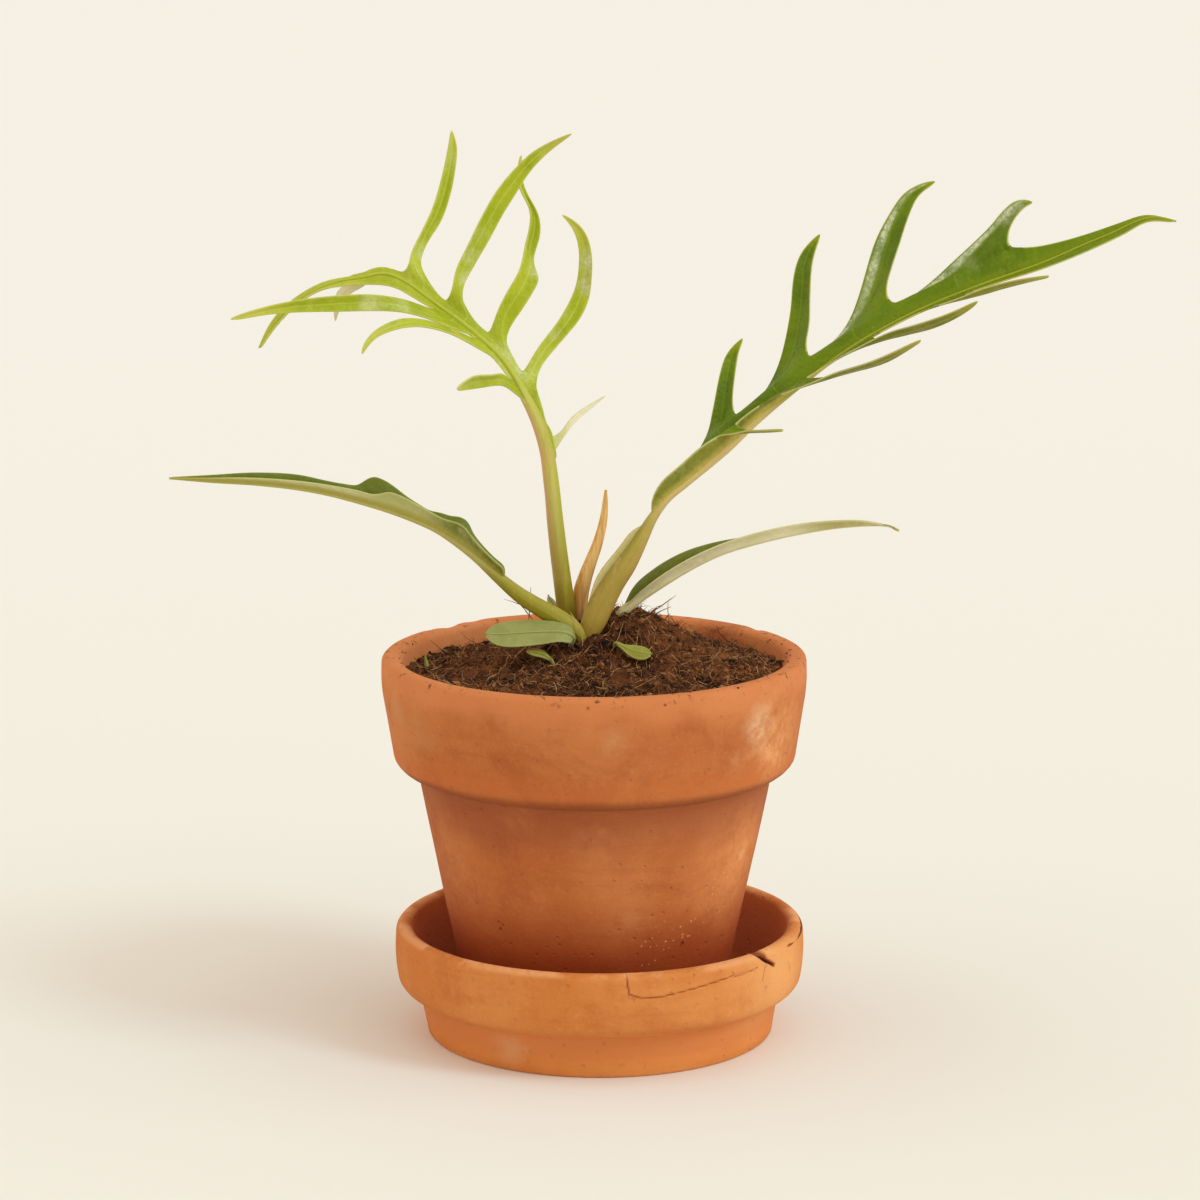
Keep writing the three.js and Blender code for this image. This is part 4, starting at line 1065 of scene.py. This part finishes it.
YOUNG_SPUR = [
    {
        "from": 58, "to": 62, "channel": 0.2, "rows": 10,
        "near": [(-9, 2.9, 156.8), (-6.1, 5.6, 160.2), (-2, 8.8, 163.2)],
        "far": [(-10.2, 2.2, 157.7), (-7.1, 5.2, 161.4), (-2.6, 8.6, 164.1)],
        "tip": (2, 12, 166.2),
    },
]
YOUNG_HANGING_EDGE = [(125.8, 1.4, 70), (132.2, 1, 70)]
YOUNG_HANGING_LOBE = [
    {
        "from": 126, "to": 132, "channel": 0.3, "rows": 12,
        "near": [(-59.8, 8, 195.6), (-64.6, 11, 192.4), (-67, 14, 188.6)],
        "far": [(-63, 8, 197), (-67.4, 11, 193.6), (-68.8, 14, 188.9)],
        "tip": (-68.6, 17, 184.6),
    },
]
YOUNG_FAR_LOBES = [
    {
        "from": 75.5, "to": 80, "channel": 0.7, "rows": 22,
        "near": [
            (-15.6, 3.5, 173.6), (-12.4, 5.8, 178), (-8.8, 8, 182), (-5.2, 10.2, 186.1),
            (-3.1, 11.9, 190.1), (-2.2, 10.7, 196.2), (-2.2, 9.1, 203.3), (-3.9, 7.8, 208.9),
            (-6.7, 6.9, 211.8),
        ],
        "far": [
            (-18.5, 3, 175.2), (-15.9, 5.2, 179.3), (-11.8, 8.1, 184.3), (-8.8, 10.5, 188.7),
            (-6.4, 11.4, 193.7), (-5.4, 10, 199.3), (-5.4, 8.7, 204.6), (-6.6, 7.5, 209.1),
            (-8.4, 6.7, 211.8),
        ],
        "tip": (-10.2, 6, 213.6),
    },
    {
        "from": 80, "to": 92.5, "channel": 0.8, "rows": 26,
        "near": [
            (-22.8, 2.9, 178.3), (-24, 3.4, 180.6), (-23.2, 4, 184.2), (-19.7, 5.1, 189.4),
            (-16.3, 7.7, 194.8), (-15.2, 8.6, 197.2), (-16.8, 9.6, 199.4), (-16.8, 11, 202.8),
            (-15.4, 12.3, 206.8), (-15.9, 13.3, 213.1), (-18, 14.3, 216.9), (-19.6, 17.5, 220.2),
        ],
        "far": [
            (-26.6, 3, 188.1), (-23.5, 4.4, 194.1), (-20.5, 6.6, 199.2), (-19, 9.7, 205.3),
            (-18, 11.6, 208.9), (-17.8, 13, 214.4), (-19.5, 13.8, 218), (-21, 16.9, 221.3),
        ],
        "tip": (-20.2, 24, 227.6),
    },
    {
        "from": 92.5, "to": 106, "channel": 0.8, "rows": 26,
        "near": [
            (-30.7, 3.7, 184.9), (-33.3, 4.8, 188.1), (-34.8, 5.5, 190.3), (-35.1, 6.5, 194.1),
            (-32.1, 8.4, 200.1), (-27.7, 11.2, 207.5), (-25.4, 12.8, 211.9), (-21.7, 14.6, 217.8),
            (-17.8, 16, 223.8), (-12, 16.4, 229.6),
        ],
        "far": [
            (-38.1, 3.9, 193.9), (-36.6, 5.7, 199.6), (-33.8, 7.5, 205), (-30.2, 10.4, 212.4),
            (-25.7, 13.6, 219.8), (-21.3, 15.2, 224.8), (-17.2, 16.3, 228.5), (-12.1, 16.4, 231.3),
        ],
        "tip": (-6.7, 15, 233.6),
    },
    {
        "from": 106, "to": 119, "channel": 0.7, "rows": 22,
        "near": [
            (-41.7, 5.1, 193.7), (-44, 6.4, 196.9), (-45.9, 7.6, 200.4), (-44.6, 9.1, 205),
            (-40.6, 11.4, 211.4), (-38.6, 13, 217), (-37.1, 15.2, 224.5), (-36.8, 16.8, 230.3),
        ],
        "far": [
            (-49.1, 4.9, 200.4), (-48.1, 6.3, 203.9), (-45.8, 8.2, 208), (-42.8, 10.8, 214.4),
            (-40.5, 13.7, 222.3), (-39, 16.3, 229.5),
        ],
        "tip": (-38.2, 18, 234.5),
    },
]
YOUNG_NEAR_LOBES = [
    {
        "from": 74, "to": 80,
        "path": [(-23.1, -5, 173), (-28.3, -13, 173.2), (-32.2, -19, 173.6), (-35.6, -25, 172.8)],
        "widths": [(0, 3), (0.7, 4), (1, 1)], "twist": -50, "channel": 0.5,
    },
    {
        "from": 88, "to": 94,
        "path": [
            (-35.4, -3, 184.1), (-41.9, -9, 187.2), (-49.5, -16, 188.6), (-55.5, -20, 186.6),
            (-58.6, -22.5, 184), (-59.7, -23, 180.8),
        ],
        "widths": [(0, 2.6), (0.6, 2.6), (1, 0.5)], "channel": 0.4, "rows": 16,
    },
    {
        "from": 96, "to": 107,
        "path": [
            (-44.7, -6, 190.8), (-52, -10, 192.6), (-66.4, -16, 193.3), (-81.4, -21, 192.5),
            (-92.8, -25, 190.2),
        ],
        "widths": [(0, 3.6), (0.35, 4.4), (0.6, 3.4), (1, 0.5)],
        "twist": -35, "channel": 0.6, "rows": 18,
    },
]

young_stalk_skin = stalk_skin(
    "young_stalk_skin", left=(206, 158, 104), main=(198, 190, 100), right=(170, 172, 52),
    tips=[(66, 84, (176, 184, 58))], gloss=0.4, foot=(138, 122, 4),
)
# Painted highlight spots on the young leaf's lobes: place, reach and strength.
YOUNG_HIGHLIGHT_SPOTS = [
    ((-1, 11, 210.3), 4, 0.8), ((-2.1, 10, 201.4), 5, 0.85), ((-3.4, 11, 194.5), 4, 0.7),
    ((-8.7, 8, 188.7), 3.5, 0.7), ((-11.5, 7, 183), 3, 0.6), ((-33.6, 7, 197), 4, 0.55),
    ((-32.6, 7, 203), 4.5, 0.75), ((-30.5, 8, 208), 4, 0.6), ((-16.4, 9, 206.6), 4, 0.45),
    ((-16.6, 8, 198.5), 3, 0.6), ((-37, 14, 227), 5, 0.4), ((-44.5, 8, 203.5), 4, 0.5),
    ((-58, -12, 192.6), 5, 0.4), ((-50, -9, 191.6), 4, 0.4), ((-24, 1, 178), 5, 0.4),
    ((-21, 1, 173), 4, 0.45),
]
young_upper = leaf_skin(
    "young_leaf_upper_skin", main=(170, 180, 34), deep=(150, 164, 14), light=(196, 204, 88),
    vein=(204, 206, 104), edge=(200, 196, 96), gloss=0.27, blister=0.08, vein_width=0.25,
    streaks=0.5, lines=0.7, tip=(192, 190, 80), highlight_spots=YOUNG_HIGHLIGHT_SPOTS,
)
young_under = leaf_skin(
    "young_leaf_under_skin", main=(180, 186, 72), deep=(164, 174, 54), light=(210, 210, 136),
    vein=(214, 208, 140), edge=(204, 192, 110), gloss=0.36, blister=0.06, vein_width=0.3,
    streaks=0.5, root=(190, 186, 96), lines=0.6,
)
pale_lobe_skin = leaf_skin(
    "pale_lobe_skin", main=(214, 210, 148), deep=(202, 200, 130), light=(230, 226, 184),
    vein=(200, 196, 128), edge=(200, 184, 124), gloss=0.45, blister=0.05, root=(178, 178, 64),
    stages=[(5, 13, (228, 220, 184))],
)
young = Midrib(YOUNG_MIDRIB, LEFT)
bm = new_leaf()
add_stalk(bm, young, YOUNG_STALK)
add_side(bm, young, FAR, YOUNG_SPUR_EDGE, YOUNG_SPUR, columns=4, finishes=(3, 3))
add_side(bm, young, FAR, YOUNG_FAR_EDGE, YOUNG_FAR_LOBES, columns=6)
add_side(bm, young, FAR, YOUNG_HANGING_EDGE, YOUNG_HANGING_LOBE, columns=4, finishes=(3, 3))
add_side(bm, young, NEAR, YOUNG_NEAR_EDGE, YOUNG_NEAR_LOBES, columns=6)
put_leaf(
    bm, "young_leaf", [young_stalk_skin, young_upper, young_under, pale_lobe_skin],
    "leaf_young",
)

# Strap leaf on the left: a juvenile leaf without lobes, on a short stalk. It is folded like a keel,
# with its midrib as the lower edge, and its far margin is waved.
STRAP_LEFT_MIDRIB = [
    (-3.6, -4.6, 97), (-4, -5.2, 103.5), (-6.6, -6.2, 107.9), (-11.2, -6.2, 111.1), (-15.6, -6, 113.6),
    (-20.4, -5.6, 116.6), (-25.2, -5, 120.5), (-34.4, -5, 128.4), (-41.8, -4, 133.3),
    (-49.3, -3, 136.5), (-60.3, -2, 140), (-71.4, -1, 142.7), (-86.1, 0, 144.6), (-101, 0, 145.5),
    (-110.7, 0, 146.3),
]
STRAP_LEFT_STALK = [
    (0, 0.8), (7, 1.5), (12, 2.4), (18, 2.5), (26, 2.2), (34, 1.7), (42, 1.1), (56, 0.7), (100, 0.5),
    (126, 0.3),
]
STRAP_LEFT_NEAR_EDGE = [
    (34, 0.8, 60), (34.8, 2.8, 60), (36, 3.7, 60), (39, 3.7, 60), (43.5, 4.1, 60), (48, 5.4, 60),
    (50.5, 6.5, 60), (53, 5.8, 60), (55, 4.9, 60), (58, 4.8, 62), (61.5, 5.3, 62), (66, 6.1, 62),
    (70.5, 6.1, 62), (72, 4.8, 62), (74, 3.8, 62), (77, 3.9, 60), (83, 3.4, 60), (89, 3, 60),
    (97, 2.6, 60), (107, 2.1, 60), (118, 1.2, 60), (126, 0.4, 60),
]
STRAP_LEFT_FAR_EDGE = [
    (34, 0.8, 62), (34.8, 2.6, 62), (36, 3.6, 62), (39, 3.6, 62), (43.5, 4, 62), (48, 5.3, 62),
    (50.5, 6.9, 62), (52.5, 6.8, 62), (55, 5.2, 62), (57, 5.1, 62), (58.5, 4.3, 62), (62, 4.6, 62),
    (66.5, 5.7, 62), (70, 7.1, 62), (73.5, 8, 62), (76, 7.8, 62), (77.2, 6.4, 62), (78.2, 4.6, 62),
    (81.5, 3.9, 62), (87, 3.6, 62), (92.5, 3.9, 62), (104, 3.3, 61), (116, 1.9, 60), (126, 0.4, 60),
]
strap_left = Midrib(STRAP_LEFT_MIDRIB, LEFT)
strap_stalk_skin = stalk_skin(
    "strap_stalk_skin", left=(146, 138, 30), main=(150, 142, 36), right=(172, 156, 70),
    tips=[(32, 46, (180, 172, 92))],
)
strap_upper = leaf_skin(
    "strap_leaf_upper_skin", main=(112, 122, 36), deep=(96, 108, 26), light=(150, 156, 80),
    vein=(160, 162, 80), edge=(168, 166, 80), gloss=0.34, blister=0.12,
)
strap_under = leaf_skin(
    "strap_leaf_under_skin", main=(122, 130, 38), deep=(104, 116, 24), light=(190, 192, 126),
    vein=(186, 176, 96), edge=(186, 184, 110), gloss=0.4, blister=0.14, streaks=0.8,
    root=(164, 158, 70),
    stages=[(50, 62, (184, 186, 116)), (68, 84, (212, 212, 158)), (112, 124, (176, 156, 100))],
)
bm = new_leaf()
add_stalk(bm, strap_left, STRAP_LEFT_STALK)
for side, rows in ((NEAR, STRAP_LEFT_NEAR_EDGE), (FAR, STRAP_LEFT_FAR_EDGE)):
    add_side(bm, strap_left, side, rows, step=1.6, swell=0.12, strip_rows=5)
left_skins = [strap_stalk_skin, strap_upper, strap_under]
put_leaf(bm, "left_strap_leaf", left_skins, "strap_leaf_left")

# Strap leaf on the right: the left one's smooth fellow, grown from the same stem on a shorter stalk.
# Its far half shows the dark upper face, and its near half the pale underside.
STRAP_RIGHT_MIDRIB = [
    (1.8, 5, 98), (2.6, 4.6, 105), (5.2, 4.2, 109.8), (9.4, 3.4, 113.2), (15.8, 2, 117.8),
    (23.8, 1, 122.8), (31.5, 0, 126.6), (39.4, 0, 129), (47.4, 0, 131), (55.1, 0, 132.5),
    (63.1, 0, 133.6), (70.8, 0, 134), (75.4, 0, 133.8), (77.2, 0, 132.8),
]
STRAP_RIGHT_STALK = [(0, 1), (8, 1.6), (13, 1.5), (20, 0.9), (50, 0.4), (93.5, 0.25)]
STRAP_RIGHT_NEAR_EDGE = [
    (14, 0.8, 50), (20, 2.4, 52), (40, 3.7, 54), (60, 4, 56), (72, 3.2, 56), (84, 1.4, 55),
    (93.2, 0.4, 55),
]
STRAP_RIGHT_FAR_EDGE = [
    (13.5, 0.8, 48), (15.5, 2, 48), (17, 3.4, 48), (20, 4.9, 48), (24, 5.6, 48), (29.5, 5.9, 48),
    (35, 5.6, 48), (42, 4.5, 47), (51, 3.2, 44), (62, 2.5, 42), (72, 2, 42), (84, 1.1, 45),
    (93.2, 0.4, 50),
]
strap_right = Midrib(STRAP_RIGHT_MIDRIB, RIGHT)
pale_stalk_skin = stalk_skin(
    "pale_stalk_skin", left=(208, 200, 134), main=(222, 216, 162), right=(230, 222, 180),
    tips=[(20, 40, (224, 218, 172))],
)
pale_under = leaf_skin(
    "pale_strap_under_skin", main=(236, 232, 190), deep=(222, 220, 170), light=(244, 240, 212),
    vein=(214, 206, 146), edge=(190, 190, 116), gloss=0.45, blister=0.06, streaks=0.5,
    stages=[(60, 75, (184, 178, 112)), (84, 92, (176, 140, 100))],
)
bm = new_leaf()
add_stalk(bm, strap_right, STRAP_RIGHT_STALK)
for side, rows in ((NEAR, STRAP_RIGHT_NEAR_EDGE), (FAR, STRAP_RIGHT_FAR_EDGE)):
    add_side(bm, strap_right, side, rows, step=1.6, swell=0.1, strip_rows=5)
right_skins = [pale_stalk_skin, strap_upper, pale_under]
put_leaf(bm, "right_strap_leaf", right_skins, "strap_leaf_right")

# Dry sheath: the papery remains of an older leaf's sheath, dried orange brown and rolled to a point.
# It stands up between the stalks and is still fixed to the stem at its foot.
SHEATH_MIDRIB = [
    (-3.8, 7.4, 97), (-4.8, 6.6, 104), (-5.4, 5.8, 110), (-4.8, 5.4, 116), (-3.1, 5.2, 121.6),
    (-0.6, 5, 128.4), (1, 5, 135), (1.5, 4, 142.5),
]
SHEATH_RADII = [
    (0, 2.2), (14, 2.3), (20, 2.1), (26, 1.7), (33, 1.35), (40, 1), (45.5, 0.6), (46.8, 0.3),
]
dry_skin = Finish("dry_sheath_skin", (244, 206, 134), Roughness=0.75)
fibres = dry_skin.noise(700, 5, 0.6, dry_skin.stretched(1, 1, 0.06))
dry_skin.lay((216, 156, 76), dry_skin.ramp(fibres, 0.38, 0.62))
dry_skin.lay((206, 144, 88), dry_skin.ramp(dry_skin.mark("way"), 18, 4))
dry_skin.bump(fibres, 0.3)
sheath = Midrib(SHEATH_MIDRIB, RIGHT)
bm = new_leaf()
add_stalk(bm, sheath, SHEATH_RADII)
put_leaf(bm, "dry_leaf_sheath", [dry_skin], "dry_sheath")

# Small leaves: the plant's first leaves, thin, flat and rounded, on short stalks just over the soil.
# Each is a short midrib and a blade of rows of distance and half width, tilted by roll degrees.
SMALL_LEAVES = [
    {
        "name": "front_small_leaf", "node": "small_leaf_left", "slot": "leaf_grey",
        "heading": LEFT, "roll": 35,
        "midrib": [
            (-8.6, -5, 98), (-7.8, -7.6, 103.6), (-6.6, -9.8, 106.4), (-8, -11.4, 107.9),
            (-15.4, -12, 108.5), (-20.5, -12, 108.2), (-25.6, -12, 107.9), (-29.7, -12, 108),
        ],
        "stalk": [(0, 0.7), (10, 0.5), (15, 0.4), (34.3, 0.2)],
        "widths": [
            (9.4, 0.8), (11.5, 2.4), (15, 3.4), (20, 4.3), (26, 4.7), (30, 4.3), (32.6, 3), (34.2, 1),
        ],
    },
    {
        "name": "lower_small_leaf", "node": "small_leaf_under", "slot": "leaf_fresh",
        "heading": LEFT, "roll": 30,
        "midrib": [(-12, -14, 96.4), (-12.2, -14, 101.2), (-14.6, -14, 103.2), (-18.9, -14, 104)],
        "stalk": [(0, 0.6), (7, 0.5), (12.4, 0.2)],
        "widths": [(5.4, 0.5), (8, 1.4), (11, 1.3), (12.4, 0.3)],
    },
    {
        "name": "right_small_leaf", "node": "small_leaf_right", "slot": "leaf_fresh",
        "heading": RIGHT, "roll": 30,
        "midrib": [
            (3.4, -5, 99), (3.6, -8, 103.4), (4.4, -11.4, 105.5), (5.8, -12.4, 104.9),
            (8.2, -12.8, 103.8), (13.4, -13, 102.9),
        ],
        "stalk": [(0, 0.7), (9, 0.5), (19.2, 0.2)],
        "widths": [
            (9.6, 0.5), (11.4, 0.9), (13.4, 2), (15.6, 2.7), (17.6, 2.4), (18.7, 1.6), (19.1, 0.8),
        ],
    },
    {
        "name": "back_small_leaf", "node": "small_leaf_back", "slot": "leaf_grey",
        "heading": LEFT, "roll": 20,
        "midrib": [(-11, 9, 97), (-10.6, 9.4, 104.5), (-11.4, 10, 109.4), (-13.6, 11, 113.6)],
        "stalk": [(0, 0.8), (8, 0.6), (17.2, 0.2)],
        "widths": [(7, 0.5), (10, 2.4), (13.5, 2.6), (16, 1.6), (17, 0.5)],
    },
]
grey_leaf_skin = leaf_skin(
    "grey_leaf_skin", main=(150, 152, 88), deep=(134, 140, 72), light=(176, 178, 122),
    vein=(176, 178, 116), edge=(182, 184, 110), gloss=0.36, blister=0.08,
)
fresh_leaf_skin = leaf_skin(
    "fresh_leaf_skin", main=(146, 146, 58), deep=(122, 126, 36), light=(176, 174, 96),
    vein=(176, 176, 96), edge=(182, 180, 96), gloss=0.4, blister=0.08,
)
for small in SMALL_LEAVES:
    rib = Midrib(small["midrib"], small["heading"])
    skin = grey_leaf_skin if small["slot"] == "leaf_grey" else fresh_leaf_skin
    bm = new_leaf()
    add_stalk(bm, rib, small["stalk"], sides=10, step=1.2, finish=1)
    for side in (NEAR, FAR):
        rows = [(distance, width, -side * small["roll"]) for distance, width in small["widths"]]
        add_side(bm, rib, side, rows, step=1.2, swell=0.05, strip_rows=5, finishes=(1, 1))
    put_leaf(bm, small["name"], [strap_stalk_skin, skin], small["node"])

# Sprout: one thin green shoot, a soft tapered stalk without a blade.
# It comes out of the soil at its left edge.
sprout_rib = Midrib([(-44.2, -2, 91), (-44.5, -2, 95), (-44.9, -2, 98), (-45.3, -2.4, 100.6)], LEFT)
bm = new_leaf()
add_stalk(bm, sprout_rib, [(0, 0.6), (6, 0.7), (9.8, 0.2)], sides=8, step=1)
put_leaf(bm, "green_sprout", [fresh_leaf_skin], "sprout")

# Fibres and crumbs: coir threads, fine roots and bark crumbs of the soil mix, lying loose on its top.
# Some threads stand up in tufts behind the stalks, and some crumbs lie on the pot's rim.
SEED = 41
FIBRE_COUNT = 6600
CRUMB_COUNT = 3200
RIM_CRUMBS = 110
BATCH = 150
THREAD_RINGS = [0.5, 1, 0.95, 0.8, 0.35]
THREAD_SIDES = 3
CRUMB_POINTS = 12
SHORT_SHARE = 0.93
FINE_SHARE = 0.92
WALL = 48
RIM_BAND = (49, 54.2)
RIM_LEVEL = 100.1
TUFTS = [((-19, 8), 5, 16, 5), ((5, 9.5), 4, 26, 3.5), ((16, 10), 5, 22, 4.5), ((-34, 3), 5, 10, 3)]
LONG_HAIRS = [
    ([(-7.7, -6.6, 112.6), (-5.7, -8.9, 109.8), (-4.4, -9.2, 105.5), (-4.9, -9.4, 102.4)], 0.12, 0.95),
    ([(-18, 8, 108), (-20.6, 8, 111.4), (-25, 8, 113)], 0.1, 0.1),
    ([(-18.6, 8, 107), (-18.2, 8, 112), (-18, 8, 116.2)], 0.16, 0.15),
    ([(-17, 8, 107), (-19.5, 8, 110), (-21, 8, 112.6)], 0.12, 0.3),
    ([(11.8, 10, 108), (15.7, 10, 110.6), (19.8, 10, 113.6)], 0.16, 0.35),
    ([(12.6, 10, 107.6), (16.2, 10, 109.6), (18.6, 10, 110.6)], 0.14, 0.2),
    ([(18.2, 10, 106), (17.8, 10, 110), (18.2, 10, 113)], 0.06, 0.95),
    ([(-28, -9, 104), (-24, -13, 104.6), (-19, -15, 104.8), (-14, -15, 104.2)], 0.12, 0.8),
]
random.seed(SEED)
noise.seed_set(SEED)


def moulded(build):
    """A small mesh, built once, of which many bent or broken copies are made."""
    bm = bmesh.new()
    bm.verts.layers.float.new("tone")
    build(bm)
    mesh = bpy.data.meshes.new("mould")
    bm.to_mesh(mesh)
    bm.free()
    return mesh


def straight_thread(bm):
    """A thread of radius 1, with its rings at whole heights."""
    bmesh.ops.create_circle(bm, segments=THREAD_SIDES, radius=1, cap_ends=True)
    face = bm.faces[:][0]
    for _ in THREAD_RINGS[1:]:
        top = bmesh.ops.extrude_face_region(bm, geom=[face])["geom"]
        verts = [item for item in top if isinstance(item, bmesh.types.BMVert)]
        bmesh.ops.translate(bm, verts=verts, vec=(0, 0, 1))
        face = [item for item in top if isinstance(item, bmesh.types.BMFace)][0]
    bmesh.ops.recalc_face_normals(bm, faces=bm.faces)


def round_crumb(bm):
    bmesh.ops.create_icosphere(bm, subdivisions=1, radius=1)


thread_mould = moulded(straight_thread)
crumb_mould = moulded(round_crumb)


def strand(bm, tones, places, radius, tone):
    """Bends the copy of the thread that was added last along places in millimetres."""
    line = smooth_line(places, len(THREAD_RINGS))
    across = (line[-1] - line[0]).orthogonal().normalized()
    beside = across.cross((line[-1] - line[0]).normalized())
    for vert in bm.verts[-THREAD_SIDES * len(THREAD_RINGS):]:
        ring = round(vert.co.z)
        out = beside * vert.co.x + across * vert.co.y
        vert.co = line[ring] + out * radius * THREAD_RINGS[ring] * MM
        vert[tones] = tone


def crumb(bm, tones, place, size, tone):
    """Sets the copy of the crumb that was added last at a place in millimetres, and breaks it."""
    wide, deep, high = random.uniform(0.5, 1.5), random.uniform(0.5, 1.2), random.uniform(0.3, 0.9)
    shape = Matrix.Diagonal((wide, deep, high, 1))
    turned = Matrix.Rotation(random.uniform(0, math.tau), 4, (random.random(), random.random(), 1))
    for vert in bm.verts[-CRUMB_POINTS:]:
        vert.co = Vector(place) * MM + (turned @ shape @ vert.co) * size * MM
        vert.co += noise.noise_vector(vert.co * 1700) * size * 0.5 * MM
        vert[tones] = tone


def gather(mould, shape, rows):
    """Joins many copies of a mould, each shaped by its row, in batches so that the work stays quick."""
    whole = bmesh.new()
    whole.verts.layers.float.new("tone")
    for first in range(0, len(rows), BATCH):
        batch = bmesh.new()
        tones = batch.verts.layers.float.new("tone")
        for row in rows[first:first + BATCH]:
            batch.from_mesh(mould)
            batch.verts.ensure_lookup_table()
            shape(batch, tones, *row)
        join(whole, batch)
    return whole


def on_soil(x, y, share=0.6):
    return soil_height(x, y) + share * soil_crumble(x, y)


def soil_spot(reach=47.5):
    """A random place on the soil inside the pot, in millimetres."""
    turn, out = random.uniform(0, math.tau), reach * math.sqrt(random.random())
    return POT_CENTRE + out * math.cos(turn), out * math.sin(turn)


threads = list(LONG_HAIRS)
for (x, y), spread, count, length in TUFTS:
    for _ in range(count):
        px, py = x + random.gauss(0, spread / 2), y + random.gauss(0, spread / 3)
        lean = random.uniform(-1, 1) * length * 0.7
        ground = on_soil(px, py) - 0.3
        rise = length * random.uniform(0.15, 0.8)
        elbow = (px + lean * 0.4, py, ground + rise * 0.7)
        places = [(px, py, ground), elbow, (px + lean, py, ground + rise)]
        threads.append((places, random.uniform(0.05, 0.14), random.random() * 0.7))
for _ in range(FIBRE_COUNT):
    x, y = soil_spot()
    length = random.uniform(1, 4) if random.random() < SHORT_SHARE else random.uniform(4, 9)
    turn, lift = random.uniform(0, math.tau), random.uniform(-0.1, 0.62) ** 2 * 2
    bend = random.uniform(-1.2, 1.2)
    places = []
    for k in range(4):
        share = k / 3
        way = turn + bend * share
        px = x + math.cos(way) * length * share
        py = y + math.sin(way) * length * share
        if math.hypot(px - POT_CENTRE, py) > WALL:
            break
        raised = 0.1 + lift * length * share * random.uniform(0.6, 1.2)
        places.append((px, py, on_soil(px, py) + raised))
    if len(places) > 2:
        threads.append((places, random.uniform(0.04, 0.12), random.random()))
fibre_skin = Finish("soil_fibre_skin", (50, 26, 12), Roughness=0.85, Specular_IOR_Level=0.2)
tone = fibre_skin.mark("tone")
fibre_skin.lay((156, 100, 56), fibre_skin.ramp(tone, 0, 0.7))
fibre_skin.lay((226, 178, 120), fibre_skin.ramp(tone, 0.74, 1))
fibre_skin.lay((70, 38, 18), fibre_skin.ramp(fibre_skin.noise(700, 4), 0.4, 0.6, 0, 0.3))
fibres = put(gather(thread_mould, strand, threads), "soil_fibres", [fibre_skin])
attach(fibres, "root")

lumps = []
for _ in range(CRUMB_COUNT):
    x, y = soil_spot(47.8)
    size = random.uniform(0.15, 0.6) if random.random() < FINE_SHARE else random.uniform(0.6, 1.1)
    lumps.append(((x, y, on_soil(x, y) + size * 0.2), size, random.random() ** 1.5 * 0.8))
for _ in range(RIM_CRUMBS):
    turn, out = random.uniform(-1.25, 1.25) * math.pi * 0.5 - math.pi / 2, random.uniform(*RIM_BAND)
    place = (POT_CENTRE + out * math.cos(turn), out * math.sin(turn), RIM_LEVEL)
    lumps.append((place, random.uniform(0.12, 0.34), random.random() * 0.5))
crumbs = put(gather(crumb_mould, crumb, lumps), "soil_crumbs", [fibre_skin], smooth=False)
bpy.data.meshes.remove(thread_mould)
bpy.data.meshes.remove(crumb_mould)
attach(crumbs, "root")
